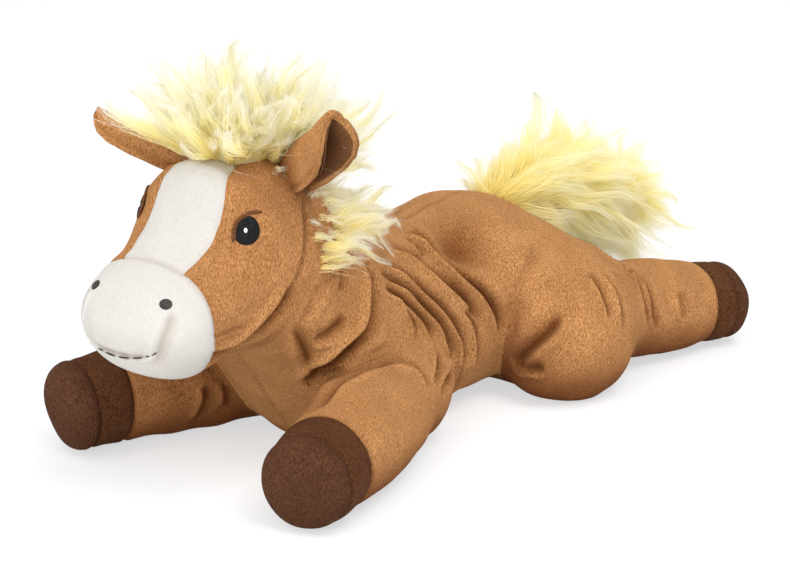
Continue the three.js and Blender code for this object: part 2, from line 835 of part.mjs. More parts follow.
function buildHead() {
  const skin = stuffedForm(head).subtract(hiddenForm(head, plushThickness));
  const earRooms = unite(Object.entries(EARS).map(([side, ear]) => onSide(earRoom(ear), side)));
  const cover = skin.subtract(earRooms);
  const behindSeam = cover.subtract(slab(craniumCentre, muzzleSeamAxis, muzzleSeamReach - seamGap / 2));
  const cheeks = behindSeam.subtract(blazeTool(seamGap));
  for (const side of Object.keys(SIDES)) {
    addPiece(`head_${side}_panel`, largestBody(cheeks.intersect(half(side))), "brown");
  }
  addPiece("blaze_panel", largestBody(behindSeam.intersect(blazeTool(0))), "cream");
  const muzzle = skin.intersect(slab(craniumCentre, muzzleSeamAxis, muzzleSeamReach + seamGap / 2));
  addPiece("muzzle_cap", largestBody(muzzle), "cream");
  addPiece("head_filling", largestBody(hiddenForm(head, plushThickness + seamGap).subtract(earRooms)), "filling");
  const neck = swept(hiddenForm(trunk, -seatGap), craniumCentre, UP, -headTurn, headTurn, 2);
  const tuft = forelock.subtract(stuffedForm(head, -seamGap)).subtract(earRooms).subtract(neck);
  addPiece("forelock", largestBody(tuft), "fur");
}

function buildNeckMane() {
  const mass = stuffedForm(neckManeForm(trunk)).subtract(stuffedForm(trunk, -seamGap)).subtract(headRoom);
  const tuftRoom = swept(stuffedForm(forelockForm(), -seatGap), craniumCentre, UP, -headTurn, headTurn, 2);
  addPiece("neck_mane", largestBody(mass.subtract(tuftRoom)), "fur");
}

function buildFace() {
  const layer = (near, far) => stuffedForm(head, -far).subtract(stuffedForm(head, -near));
  const stitched = layer(seamGap, seamGap + threadThickness);
  const raised = layer(2 * seamGap + threadThickness, 2 * seamGap + 1.5 * threadThickness);
  const [eyeHalfWidth, eyeHalfHeight] = [eyeWidth / 2, eyeHeight / 2];
  const eye = faceTool(ellipseShape(eyeHalfWidth, eyeHalfHeight), craniumCentre, eyeDirection, eyeTilt);
  const glint = faceTool(ellipseShape(highlightRadius, highlightRadius), craniumCentre, eyeDirection);
  const lashShape = bandShape(eyeHalfWidth + seamGap, eyeHalfHeight + seamGap, lashWidth, 55, 205);
  const lash = faceTool(lashShape, craniumCentre, eyeDirection, eyeTilt);
  const nostril = faceTool(ellipseShape(nostrilRadius, nostrilRadius), muzzleCentre, nostrilDirection);
  const pieces = {
    eye: [stitched, eye, "black"],
    eye_highlight: [raised, glint, "white"],
    eye_lash: [stitched, lash, "lash"],
    nostril: [stitched, nostril, "thread"],
  };
  for (const side of Object.keys(SIDES)) {
    for (const [name, [sheet, tool, colour]] of Object.entries(pieces)) {
      addPiece(`${side}_${name}`, largestBody(sheet.intersect(onSide(tool, side))), colour, 0.7);
    }
  }
  const bow = bandShape(mouthHalfWidth, mouthSag, mouthThread, 190, 350);
  addPiece("mouth_thread", largestBody(stitched.intersect(faceTool(bow, muzzleCentre, mouthDirection))), "thread", 0.7);
}

buildTrunk();
buildHead();
buildFace();
buildNeckMane();
for (const [side, ear] of Object.entries(EARS)) {
  const { shell, lining } = buildEar(ear);
  addPiece(`${side}_ear_shell`, onSide(shell, side), "brown");
  addPiece(`${side}_ear_lining`, onSide(largestBody(lining), side), "lining");
}
for (const [place, leg] of Object.entries(LEGS)) {
  const { sleeve, hoof_wall: wall, hoof_sole: sole, filling } = buildLeg(leg);
  for (const side of Object.keys(SIDES)) {
    addPiece(`${place}_${side}_leg_sleeve`, onSide(sleeve, side), "brown");
    addPiece(`${place}_${side}_hoof_wall`, onSide(wall, side), "hoof");
    addPiece(`${place}_${side}_hoof_sole`, onSide(sole, side), "hoof");
    addPiece(`${place}_${side}_leg_filling`, onSide(filling, side), "filling");
  }
}
addPiece("tail", tail, "fur");

export default group;
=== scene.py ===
"""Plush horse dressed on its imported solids. Forms are in millimetres, Blender is in metres."""
import math

import bpy
import numpy as np
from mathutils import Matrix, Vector
from mathutils.bvhtree import BVHTree


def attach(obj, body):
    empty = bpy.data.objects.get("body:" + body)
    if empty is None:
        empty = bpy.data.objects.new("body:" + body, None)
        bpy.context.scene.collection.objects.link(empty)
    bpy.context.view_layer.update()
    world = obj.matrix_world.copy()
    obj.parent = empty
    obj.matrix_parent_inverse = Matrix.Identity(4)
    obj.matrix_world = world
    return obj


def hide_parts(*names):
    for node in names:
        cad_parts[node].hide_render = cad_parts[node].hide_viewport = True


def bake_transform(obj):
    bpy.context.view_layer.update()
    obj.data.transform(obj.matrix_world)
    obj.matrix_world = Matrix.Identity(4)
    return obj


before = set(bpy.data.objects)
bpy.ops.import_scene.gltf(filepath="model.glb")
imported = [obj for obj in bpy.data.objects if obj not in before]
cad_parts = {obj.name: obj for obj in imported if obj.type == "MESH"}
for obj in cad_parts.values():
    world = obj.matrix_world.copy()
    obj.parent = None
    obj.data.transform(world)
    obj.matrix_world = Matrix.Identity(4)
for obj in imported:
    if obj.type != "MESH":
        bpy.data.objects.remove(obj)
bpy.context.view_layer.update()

MM = 0.001
ACROSS = np.array([1.0, 0, 0])
UP = np.array([0, 0, 1.0])
SIDES = {"left": 1, "right": -1}

# Sizes in millimetres, the same as the solids'
NECK_REACH = 146
RUMP_REACH = 104
TRUNK_LENGTH = NECK_REACH + RUMP_REACH
TRUNK_HALF_WIDTH = 50
TRUNK_SQUARENESS = 2.25
CRANIUM = np.array([0, -114, 104.0])
CRANIUM_RADIUS = 43.5
CROWN_RISE = 50
MUZZLE_REACH = 85
MUZZLE_SEAM = 55
MUZZLE_SEAM_PITCH = 5
BLAZE_HALF_WIDTH = 21
BLAZE_BACK = 8
NAPE_HEIGHT = CRANIUM[2] + 30
HEAD_PITCH = 17
HOOF_RADIUS = 22.2
SOLE_DEPTH = 13
EAR_LENGTH = 48

# The camera, fitted to the photograph
CAMERA_AT = np.array([640.1, -781.5, 379.5])
CAMERA_AZIMUTH = 39.4
CAMERA_ELEVATION = 17.5
CAMERA_FOCAL = 2100
PHOTO_WIDTH = 790
PHOTO_HEIGHT = 566
SENSOR = 36

rng = np.random.default_rng(7)


# Curves and forms


def unit(v):
    v = np.asarray(v, float)
    return v / np.linalg.norm(v, axis=-1, keepdims=True)


def curve(points):
    """A smooth curve through [share, value] pairs."""
    x, y = np.array(points, float).T
    last = len(x) - 1
    before = np.maximum(np.arange(last + 1) - 1, 0)
    after = np.minimum(np.arange(last + 1) + 1, last)
    slope = (y[after] - y[before]) / (x[after] - x[before])

    def at(share):
        share = np.asarray(share, float)
        k = np.clip(np.searchsorted(x, share, side="right") - 1, 0, last - 1)
        span = x[k + 1] - x[k]
        t = np.clip((share - x[k]) / span, 0, 1)
        start = y[k] + slope[k] * span * t
        end = y[k + 1] - slope[k + 1] * span * (1 - t)
        blend = t * t * (3 - 2 * t)
        return start * (1 - blend) + end * blend

    return at


def power_of(value, power):
    return np.sign(value) * np.abs(value) ** (2 / power)


def fullness(share, start_cap, end_cap):
    start = np.maximum(1 - share / start_cap, 0)
    end = np.maximum(1 - (1 - share) / end_cap, 0)
    return np.sqrt(np.maximum(1 - start**2, 0)) * np.sqrt(np.maximum(1 - end**2, 0))


def stations(start_cap, end_cap, cap_steps, middle_steps):
    """Shares along a form, close together in its round ends."""
    turn = 1 - np.cos(np.pi / 2 * np.arange(cap_steps + 1) / cap_steps)
    middle = np.linspace(start_cap, 1 - end_cap, middle_steps + 1)[1:-1]
    return np.concatenate([start_cap * turn, middle, 1 - end_cap * turn[::-1]])


def loft(section, shares, sides, start_cap, end_cap):
    """Rings of points through a form's sections, as an array of rings by sides by xyz."""
    here = section(shares)
    full = fullness(shares, start_cap, end_cap)
    angle = 2 * np.pi * np.arange(sides) / sides - np.pi / 2
    power = here["power"][:, None]
    across = power_of(np.cos(angle)[None], power)
    height = power_of(np.sin(angle)[None], power)
    narrowing = 1 - here["taper"][:, None] * height
    half = (here["half"] * full)[:, None]
    reach = np.where(height > 0, (here["rise"] * full)[:, None], (here["drop"] * full)[:, None])
    return (
        here["centre"][:, None]
        + here["side"][:, None] * (across * half * narrowing)[..., None]
        + here["up"][:, None] * (height * reach)[..., None]
    )


def rows(vector, count):
    return np.repeat(np.array([vector], float), count, axis=0)


back_of = curve([(0, 0.66), (0.03, 0.76), (0.1, 0.92), (0.16, 1), (0.23, 1), (0.3, 0.9), (0.38, 0.79),
                 (0.48, 0.705), (0.59, 0.7), (0.7, 0.725), (0.82, 0.72), (0.92, 0.66), (1, 0.58)])
belly_of = curve([(0, 0.52), (0.05, 0.5), (0.1, 0.43), (0.15, 0.33), (0.19, 0.22), (0.23, 0.11), (0.27, 0.03),
                  (0.3, 0), (0.6, 0), (0.88, 0), (0.94, 0.04), (1, 0.14)])
width_of = curve([(0, 0.7), (0.1, 0.86), (0.2, 0.9), (0.3, 0.95), (0.45, 0.95), (0.6, 0.92), (0.72, 0.93),
                  (0.85, 1), (1, 0.98)])
taper_of = curve([(0, 0.05), (0.2, 0.08), (0.35, 0.16), (0.5, 0.12), (1, 0.1)])


def trunk_section(share):
    top = back_of(share) * NAPE_HEIGHT
    bottom = np.maximum(belly_of(share), 0) * NAPE_HEIGHT - 0.5
    n = len(share)
    centre = np.stack([np.zeros(n), share * TRUNK_LENGTH - NECK_REACH, (top + bottom) / 2], 1)
    return {
        "centre": centre,
        "side": rows((1, 0, 0), n),
        "up": rows((0, 0, 1), n),
        "half": width_of(share) * TRUNK_HALF_WIDTH,
        "rise": (top - bottom) / 2,
        "drop": (top - bottom) / 2,
        "taper": taper_of(share),
        "power": np.full(n, TRUNK_SQUARENESS),
    }


def pitched(angle):
    return np.array([0, -math.cos(math.radians(angle)), math.sin(math.radians(angle))])


HEAD_AXIS = pitched(-HEAD_PITCH)
HEAD_UP = pitched(90 - HEAD_PITCH)
MUZZLE_AXIS = pitched(-MUZZLE_SEAM_PITCH)
HEAD_LENGTH = CRANIUM_RADIUS + MUZZLE_REACH

face_top = curve([(0, 1), (0.08, 1.02), (0.16, 1), (0.24, 0.88), (0.33, 0.71), (0.46, 0.59), (0.62, 0.49),
                  (0.8, 0.42), (1, 0.38)])
jaw_of = curve([(0, 1), (0.2, 0.9), (0.4, 0.7), (0.6, 0.62), (0.8, 0.6), (1, 0.56)])
face_width = curve([(0, 1), (0.12, 1.02), (0.22, 1), (0.4, 0.89), (0.6, 0.83), (0.8, 0.83), (1, 0.78)])


def head_section(share):
    forward = share * HEAD_LENGTH - CRANIUM_RADIUS
    face = np.maximum(forward / MUZZLE_REACH, 0)
    n = len(share)
    return {
        "centre": CRANIUM + forward[:, None] * HEAD_AXIS,
        "side": rows((1, 0, 0), n),
        "up": rows(HEAD_UP, n),
        "half": CRANIUM_RADIUS * face_width(face),
        "rise": CROWN_RISE * face_top(face),
        "drop": CRANIUM_RADIUS * jaw_of(face),
        "taper": np.zeros(n),
        "power": 2 + 0.4 * np.minimum(face * 3, 1),
    }


def head_coords(points):
    """Across, forward and up in the head's own frame."""
    d = points - CRANIUM
    return d[..., 0], d @ HEAD_AXIS, d @ HEAD_UP


# Meshes as arrays: points (n, 6) hold xyz and then the nap's along and across, and the depth of folds and
# seams that is painted as shade


# The column whose depths paint shade into the colour of folds and seams
PAINTED_SHADE = 5
# Columns that are added to cut a mesh by
AT_BLAZE, AT_MUZZLE = 6, 7
AT_DEPTH = 6


def grid(rings, start_pole, end_pole):
    """Points and triangles of a closed skin through rings, with the nap's coordinates."""
    count, sides = rings.shape[:2]
    along = np.concatenate([[0], np.cumsum(np.linalg.norm(np.diff(rings, axis=0), axis=2).mean(1))])
    around = np.linalg.norm(rings - np.roll(rings, 1, axis=1), axis=2).cumsum(1)
    extra = np.stack([np.repeat(along[:, None], sides, 1), around, np.zeros((count, sides))], 2)
    body = np.concatenate([rings, extra], 2).reshape(-1, 6)
    poles = np.array([[*start_pole, along[0], 0, 0], [*end_pole, along[-1], 0, 0]], float)
    points = np.concatenate([body, poles])
    r, s = np.meshgrid(np.arange(count - 1), np.arange(sides), indexing="ij")
    a, b = r * sides + s, r * sides + (s + 1) % sides
    c, d = a + sides, b + sides
    tris = [np.stack([a, b, d], 2).reshape(-1, 3), np.stack([a, d, c], 2).reshape(-1, 3)]
    s = np.arange(sides)
    first, last = np.full(sides, count * sides), np.full(sides, count * sides + 1)
    tris.append(np.stack([first, (s + 1) % sides, s], 1))
    base = (count - 1) * sides
    tris.append(np.stack([last, base + s, base + (s + 1) % sides], 1))
    tris = np.concatenate(tris)
    if volume(points, tris) < 0:
        tris = tris[:, ::-1]
    return points, tris


def volume(points, tris):
    a, b, c = (points[tris[:, i], :3] for i in range(3))
    return np.einsum("ij,ij->", a, np.cross(b, c)) / 6


def normals(points, tris):
    a, b, c = (points[tris[:, i], :3] for i in range(3))
    face = np.cross(b - a, c - a)
    out = np.zeros((len(points), 3))
    for i in range(3):
        np.add.at(out, tris[:, i], face)
    return out / np.maximum(np.linalg.norm(out, axis=1, keepdims=True), 1e-12)


def merged(parts):
    """Several meshes of points and triangles as one."""
    starts = np.cumsum([0] + [len(points) for points, _ in parts])
    tris = [tris + start for (_, tris), start in zip(parts, starts)]
    return np.concatenate([points for points, _ in parts]), np.concatenate(tris)


def on_side(points, tris, sign):
    """A mesh of the left side as it is for 1, and mirrored for -1."""
    points = points.copy()
    points[:, 0] *= sign
    return points, tris[:, ::sign]


def tidy(points, tris):
    """The mesh without its unused points."""
    used, flat = np.unique(tris, return_inverse=True)
    return points[used], flat.reshape(-1, 3)


def clip(points, tris, value):
    """The part where value is over 0, cut exactly along the line where it is 0."""
    inside = value > 0
    count = inside[tris].sum(1)
    kept, new, pairs = [tris[count == 3]], [], []
    for n_in in (1, 2):
        part = tris[count == n_in]
        if not len(part):
            continue
        flags = inside[part] if n_in == 1 else ~inside[part]
        first = flags.argmax(1)
        row = np.arange(len(part))
        a, b, c = part[row, first], part[row, (first + 1) % 3], part[row, (first + 2) % 3]
        new.append((n_in, a, b, c, len(pairs), len(pairs) + 1))
        pairs += [np.stack([a, b], 1), np.stack([a, c], 1)]
    if not pairs:
        return tidy(points, kept[0])
    every = np.sort(np.concatenate(pairs), axis=1)
    edges, where = np.unique(every, axis=0, return_inverse=True)
    where = where.reshape(-1)
    f0, f1 = value[edges[:, 0]], value[edges[:, 1]]
    t = (f0 / (f0 - f1))[:, None]
    cut = points[edges[:, 0]] * (1 - t) + points[edges[:, 1]] * t
    starts = np.cumsum([0] + [len(p) for p in pairs])
    index = [len(points) + where[starts[i]:starts[i + 1]] for i in range(len(pairs))]
    for n_in, a, b, c, i, j in new:
        ab, ac = index[i], index[j]
        if n_in == 1:
            kept.append(np.stack([a, ab, ac], 1))
        else:
            kept.append(np.stack([ab, b, c], 1))
            kept.append(np.stack([ab, c, ac], 1))
    return tidy(np.concatenate([points, cut]), np.concatenate(kept))


LUMP_SIZE = 24
LUMP_WAVES = 14
LUMP_HEIGHT = 0.5


def uneven(points):
    """A soft unevenness from waves in many directions, the same on both sides and on every skin."""
    p = points[:, :3].copy()
    p[:, 0] = np.abs(p[:, 0])
    own_rng = np.random.default_rng(3)
    total = np.zeros(len(p))
    for _ in range(LUMP_WAVES):
        direction = unit(own_rng.normal(size=3)) * (2 * np.pi / (LUMP_SIZE * own_rng.uniform(0.7, 1.5)))
        total += np.sin(p @ direction + own_rng.uniform(0, 6.28))
    return total / 4.5 * LUMP_HEIGHT


# Creases: lines on the photograph, cast onto a form


def camera_axes():
    a, e = math.radians(CAMERA_AZIMUTH), math.radians(CAMERA_ELEVATION)
    back = np.array([math.sin(a) * math.cos(e), -math.cos(a) * math.cos(e), math.sin(e)])
    right = np.array([math.cos(a), math.sin(a), 0])
    return right, np.cross(back, right), back


PIXEL_STEP = 2.0
LONG_LINE = 12
SMOOTHINGS = 24


def smooth_line(pixels):
    """More points along a line of pixels, on a smooth curve through them."""
    p = np.array(pixels, float)
    gone = np.concatenate([[0], np.cumsum(np.linalg.norm(np.diff(p, axis=0), axis=1))])
    t = np.linspace(0, gone[-1], max(int(gone[-1] / PIXEL_STEP), 2))
    return np.stack([curve(list(zip(gone, p[:, i])))(t) for i in range(2)], 1)


def cast(tree, pixels):
    """Where the lines of sight through these pixels meet a form, in millimetres."""
    right, up, back = camera_axes()
    found = []
    for x, y in smooth_line(pixels):
        d = right * (x - PHOTO_WIDTH / 2) - up * (y - PHOTO_HEIGHT / 2) - back * CAMERA_FOCAL
        hit = tree.ray_cast(Vector(CAMERA_AT), Vector(unit(d)))[0]
        if hit is not None:
            found.append(np.array(hit))
    if len(found) < 2:
        return None
    line = np.array(found)
    for _ in range(SMOOTHINGS if len(found) > LONG_LINE else 0):
        line[1:-1] = (line[:-2] + 2 * line[1:-1] + line[2:]) / 4
    return line


def tree_of(points, tris):
    return BVHTree.FromPolygons(points[:, :3].tolist(), tris.tolist())


def nearest(points, line):
    """Distance to a line of 3-D points, the share along it, its foot and its direction there."""
    best = np.full(len(points), 1e9)
    share = np.zeros(len(points))
    foot, heading = np.zeros((len(points), 3)), np.zeros((len(points), 3))
    for i, (a, b) in enumerate(zip(line[:-1], line[1:])):
        d = b - a
        t = np.clip((points - a) @ d / max(d @ d, 1e-9), 0, 1)
        at = a + t[:, None] * d
        gap = np.linalg.norm(points - at, axis=1)
        closer = gap < best
        best[closer] = gap[closer]
        share[closer] = (i + t[closer]) / (len(line) - 1)
        foot[closer] = at[closer]
        heading[closer] = d / max(np.linalg.norm(d), 1e-9)
    return best, share, foot, heading


CREASE_REACH = 6
STEEP, GENTLE = 0.75, 1.5
STEEP_RIDGE, GENTLE_RIDGE = 0.6, 0.2
RIDGE_AT = 2.0


def crease(points, facing, line, depth, width, hand):
    """How far a fold moves the skin.

    It is a sharp valley, steep on its left with a full ridge, and gentle on its right."""
    low, high = line.min(0) - CREASE_REACH * width, line.max(0) + CREASE_REACH * width
    near = np.where(((points[:, :3] > low) & (points[:, :3] < high)).all(1))[0]
    out = np.zeros(len(points))
    if not len(near):
        return out
    gap, share, foot, heading = nearest(points[near, :3], line)
    left = np.einsum("ij,ij->i", points[near, :3] - foot, np.cross(heading, facing[near])) * hand > 0
    fade = np.clip(np.minimum(share, 1 - share) * 6, 0, 1) ** 0.6
    reach = np.where(left, STEEP, GENTLE) * width
    valley = -depth * np.exp(-((gap / reach) ** 1.25))
    beside = (gap - RIDGE_AT * reach) / reach
    ridge = np.where(left, STEEP_RIDGE, GENTLE_RIDGE) * depth * np.exp(-(beside**2))
    out[near] = (valley + ridge) * fade
    return out


MEETING = 4
# The share of a dent's depth that is painted as shade
DENT_SHADE = 0.3


def cast_folds(tree):
    """Each fold's line and each dent's spot on the skins, in millimetres."""
    lines = [(cast(tree, pixels), depth, width) for pixels, depth, width in CREASES]
    spots = [(cast(tree, [(x, y), (x + 3, y)]), depth, radius) for (x, y), depth, radius in DENTS]
    return [[row for row in rows_found if row[0] is not None] for rows_found in (lines, spots)]


def fold(points, tris, folds, lead):
    """How far the folds and dents move a skin, on the side in view and mirrored on the other.

    They fade where two skins meet."""
    facing = normals(points, tris)
    lines, spots = folds
    move = np.zeros(len(points))
    for line, depth, width in lines:
        for sign in SIDES.values():
            move += crease(points, facing, line * (sign, 1, 1), depth, width, sign)
    depths = move.copy()
    for spot, depth, radius in spots:
        for sign in SIDES.values():
            gap = np.linalg.norm(points[:, :3] - spot[0] * (sign, 1, 1), axis=1)
            move -= depth * np.exp(-((gap / radius) ** 2))
    hold = 1 - np.exp(-((lead / MEETING) ** 2))
    # Painted shade: the folds' depths, and a share of the dents', go into the colour, darker down in a fold
    # and lighter on its ridge
    points[:, PAINTED_SHADE] += (depths + DENT_SHADE * (move - depths)) * hold
    return move * hold


# Blender objects


NECK_BEND = [np.array([0, -0.81, 0.585]) * reach for reach in (128, 158)]


def make(name, points, tris, material, tip=None):
    """A mesh object in metres, with the nap's coordinates, the painted shade of folds and seams, and a
    fibre's share to its tip for its material.
    """
    mesh = bpy.data.meshes.new(name)
    mesh.vertices.add(len(points))
    mesh.vertices.foreach_set("co", (points[:, :3] * MM).astype(np.float32).ravel())
    mesh.loops.add(len(tris) * 3)
    mesh.loops.foreach_set("vertex_index", tris.astype(np.int32).ravel())
    mesh.polygons.add(len(tris))
    mesh.polygons.foreach_set("loop_start", np.arange(0, len(tris) * 3, 3, dtype=np.int32))
    mesh.update(calc_edges=True)
    mesh.polygons.foreach_set("use_smooth", np.ones(len(tris), bool))
    nap = mesh.attributes.new("nap", "FLOAT_VECTOR", "POINT")
    nap.data.foreach_set("vector", points[:, 3:6].astype(np.float32).ravel())
    if tip is not None:
        mesh.attributes.new("tip", "FLOAT", "POINT").data.foreach_set("value", tip.astype(np.float32))
    mesh.materials.append(material)
    piece = bpy.data.objects.new(name, mesh)
    bpy.context.scene.collection.objects.link(piece)
    return piece


def add_piece(name, mesh, material, body, nodes=(), bend=None, tip=None):
    """A piece on its body, or, with bend, one whose transform is applied and that is left on no body; the
    bend's points are not used.
    """
    piece = make(name, *mesh, material, tip)
    if bend is None:
        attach(piece, body)
    else:
        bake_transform(piece)
    if nodes:
        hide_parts(*nodes)


# Folds, as pixels along each line, its depth and its width in millimetres

CREASES = [
    ([(408, 231), (427, 240), (440, 256), (450, 263), (461, 275), (475, 288), (487, 304), (495, 321),
      (499, 332)], 9.5, 2.7),
    ([(390, 246), (409, 255), (427, 270), (441, 281), (454, 290), (465, 300), (480, 320)], 5.8, 2.2),
    ([(464, 309), (471, 322), (475, 338), (475, 352), (471, 372)], 5.2, 1.8),
    ([(379, 258), (395, 268), (413, 281), (429, 295), (443, 309), (454, 325), (461, 341), (461, 357),
      (457, 375), (453, 392)], 5.8, 2.2),
    ([(381, 271), (399, 283), (415, 297), (429, 311), (441, 327), (449, 345), (451, 363), (445, 382),
      (441, 393)], 5.4, 2.1),
    ([(388, 285), (404, 299), (418, 315), (429, 331), (436, 350), (438, 368), (434, 384)], 4.8, 2.0),
    ([(366, 262), (371, 281), (372, 299), (370, 318), (365, 332), (355, 342), (337, 357), (319, 371),
      (307, 385)], 8.5, 3.4),
    ([(336, 250), (332, 268), (323, 282), (312, 299), (305, 313), (301, 325)], 5.0, 2.2),
    ([(341, 260), (342, 276), (340, 290)], 2.6, 2.2),
    ([(314, 341), (326, 338), (337, 330), (347, 318)], 3.4, 2.6),
    ([(291, 322), (298, 338), (305, 354), (312, 371)], 3.6, 2.8),
    ([(319, 406), (333, 391), (349, 380), (372, 369), (390, 362), (408, 364), (422, 373),
      (429, 387)], 3.8, 2.6),
    ([(352, 372), (372, 360), (390, 355), (405, 357)], 3.0, 2.2),
    ([(512, 364), (523, 355), (539, 341), (553, 329), (561, 315)], 4.8, 3.2),
    ([(512, 368), (528, 368), (544, 371)], 3.4, 2.6),
    ([(589, 272), (599, 288), (606, 304), (611, 318)], 3.0, 1.6),
    ([(601, 272), (613, 286), (620, 302), (622, 318), (623, 329)], 2.8, 1.6),
    ([(613, 272), (624, 283), (629, 299)], 2.0, 1.5),
    ([(640, 275), (648, 292), (653, 310), (655, 330)], 3.0, 1.7),
    ([(632, 268), (640, 290), (646, 310), (648, 325)], 2.2, 1.6),
    ([(680, 290), (682, 300), (684, 320)], 1.8, 2.6),
    ([(206, 385), (208, 396), (204, 408), (197, 420)], 2.4, 2.2),
    ([(226, 382), (228, 395), (226, 405)], 1.8, 2.2),
    ([(302, 195), (304, 215), (305, 240), (301, 262), (291, 290)], 2.2, 1.3),
    ([(293, 286), (283, 303), (268, 320), (250, 335), (232, 347), (212, 358)], 5.5, 2.6),
    ([(398, 236), (412, 246), (424, 256)], 3.4, 1.6),
    ([(400, 300), (410, 315), (416, 333), (418, 350)], 2.4, 1.5),
    ([(215, 338), (230, 333), (246, 327)], 1.0, 0.9),
    ([(172, 312), (168, 325), (163, 340), (158, 355), (156, 366)], 1.4, 2.2),
    ([(97, 346), (105, 350), (116, 355), (128, 358), (142, 358), (151, 355), (158, 351)], 0.8, 1.3),
]
DENTS = [((462, 244), 11.0, 15), ((380, 300), 3.5, 12), ((518, 258), -4.0, 20)]


# Materials


NO_TINT = (1.0, 1.0, 1.0)
NAP_LEAN = math.radians(-25)
NAP_STRETCH = 2.8
# Painted shade from the fold depths: the depths mapped from darkest to lightest, the darkest tint down in a
# fold, and the place and tint of flat skin, below the ridges' full colour
SHADE_DEPTHS = (-3.4, 1.5)
DEEPEST_SHADE = (0.42, 0.28, 0.18)
FLAT_SKIN_SHADE = (0.694, (0.92, 0.90, 0.88))
FUR_MIDDLE = (0.5, (0.98, 0.93, 0.60))
COVER_SAMPLES = 6


def new_material(name):
    material = bpy.data.materials.new(name)
    material.use_nodes = True
    nodes = material.node_tree.nodes
    return material, nodes, nodes["Principled BSDF"]


def set_inputs(node, values):
    """Sets a shader node's inputs, by name or number, to values or to other nodes' outputs."""
    for key, value in values.items():
        if isinstance(value, bpy.types.NodeSocket):
            node.id_data.links.new(value, node.inputs[key])
        else:
            node.inputs[key].default_value = value
    return node


def add_node(nodes, kind, values, **settings):
    node = nodes.new("ShaderNode" + kind)
    for key, value in settings.items():
        setattr(node, key, value)
    return set_inputs(node, values)


def attribute_of(nodes, name, output):
    return add_node(nodes, "Attribute", {}, attribute_name=name).outputs[output]


def ramp_between(nodes, share, low, high, low_colour, high_colour, middle=None):
    """Colours between two places of a share, and at a middle place."""
    ramp = add_node(nodes, "ValToRGB", {"Fac": share})
    for end, place, colour in zip(ramp.color_ramp.elements, (low, high), (low_colour, high_colour)):
        end.position = place
        end.color = (*colour, 1)
    if middle:
        ramp.color_ramp.elements.new(middle[0]).color = (*middle[1], 1)
    return ramp.outputs["Color"]


def add_relief(nodes, height, strength, depth, shader):
    relief = add_node(nodes, "Bump", {"Strength": strength, "Distance": depth * MM, "Height": height})
    set_inputs(shader, {"Normal": relief.outputs["Normal"]})


def mix_out(nodes, share, first, second, output="Material Output"):
    """Sends a mix of two shaders to the output."""
    mix = add_node(nodes, "MixShader", {0: share, 1: first.outputs[0], 2: second.outputs[0]})
    set_inputs(nodes[output], {"Surface": mix.outputs[0]})


def short_pile(name, dark, light, grain, spread, bump, sheen, cover_shade=None,
               patch_tint=(0.86, 0.83, 0.80), near=30):
    """Short pile: mottled dashes along the nap, broad brushed patches, painted shade down in folds and seams
    with lighter ridges, and, with cover_shade, painted shade where other surfaces cover the pile.
    """
    material, nodes, shader = new_material(name)
    place = nodes.new("ShaderNodeTexCoord").outputs["Object"]
    size = (grain * MM, grain * MM, NAP_STRETCH * grain * MM)
    along_nap = {"Vector": place, "Rotation": (NAP_LEAN, 0, 0), "Scale": size}
    lie = add_node(nodes, "Mapping", along_nap, vector_type="TEXTURE")
    grain_look = {"Scale": 1, "Detail": 4, "Roughness": 0.72, "Distortion": 0.5}
    pile = add_node(nodes, "TexNoise", {"Vector": lie.outputs["Vector"], **grain_look}).outputs["Fac"]
    brush = add_node(nodes, "TexNoise", {"Vector": place, "Scale": 60, "Detail": 2}).outputs["Fac"]
    parts = add_node(nodes, "SeparateXYZ", {0: attribute_of(nodes, "nap", "Vector")})
    # Painted shade: the depth in the nap's third value darkens the colour down in folds and seams and leaves
    # ridges lighter
    span = {"Value": parts.outputs["Z"], "From Min": SHADE_DEPTHS[0], "From Max": SHADE_DEPTHS[1]}
    depth = add_node(nodes, "MapRange", span).outputs["Result"]
    layers = [
        ramp_between(nodes, brush, 0.35, 0.65, patch_tint, NO_TINT),
        ramp_between(nodes, depth, 0, 1, DEEPEST_SHADE, NO_TINT, FLAT_SKIN_SHADE),
    ]
    # Painted shade: ambient occlusion darkens the colour where other surfaces cover the pile
    if cover_shade:
        occlusion = add_node(nodes, "AmbientOcclusion", {"Distance": near * MM}, samples=COVER_SAMPLES)
        layers.append(ramp_between(nodes, occlusion.outputs["AO"], 0.2, 0.8, cover_shade, NO_TINT))
    colour = ramp_between(nodes, pile, 0.5 - spread, 0.5 + spread, dark, light)
    for layer in layers:
        tint = add_node(nodes, "Mix", {}, data_type="RGBA", blend_type="MULTIPLY")
        colour = set_inputs(tint, {"Factor": 1, "A": colour, "B": layer}).outputs["Result"]
    add_relief(nodes, pile, bump, 2.0, shader)
    set_inputs(shader, {"Base Color": colour, "Roughness": 0.95, "Specular IOR Level": 0.06,
                        "Sheen Weight": sheen, "Sheen Roughness": 0.45, "Sheen Tint": (*light, 1)})
    return material


def stitched(name, dark, light):
    """Satin stitch: close parallel threads."""
    material, nodes, shader = new_material(name)
    stretch = {0: attribute_of(nodes, "nap", "Vector"), 1: (2.5, 0.4, 0)}
    place = add_node(nodes, "VectorMath", stretch, operation="MULTIPLY").outputs[0]
    strands = add_node(nodes, "TexNoise", {"Vector": place, "Scale": 1, "Detail": 3}).outputs["Fac"]
    colour = ramp_between(nodes, strands, 0.35, 0.65, dark, light)
    add_relief(nodes, strands, 0.8, 0.4, shader)
    set_inputs(shader, {"Base Color": colour, "Roughness": 0.7, "Specular IOR Level": 0.12})
    return material


def long_fur(name):
    """Long fibres, yellow at the root and whitish at the tip, that let some light through."""
    material, nodes, shader = new_material(name)
    tip = attribute_of(nodes, "tip", "Fac")
    colour = ramp_between(nodes, tip, 0.05, 0.9, (0.98, 0.88, 0.42), (0.88, 0.87, 0.80), FUR_MIDDLE)
    set_inputs(shader, {"Base Color": colour, "Roughness": 0.55, "Specular IOR Level": 0.3})
    mix_out(nodes, 0.66, shader, add_node(nodes, "BsdfTranslucent", {"Color": colour}))
    return material


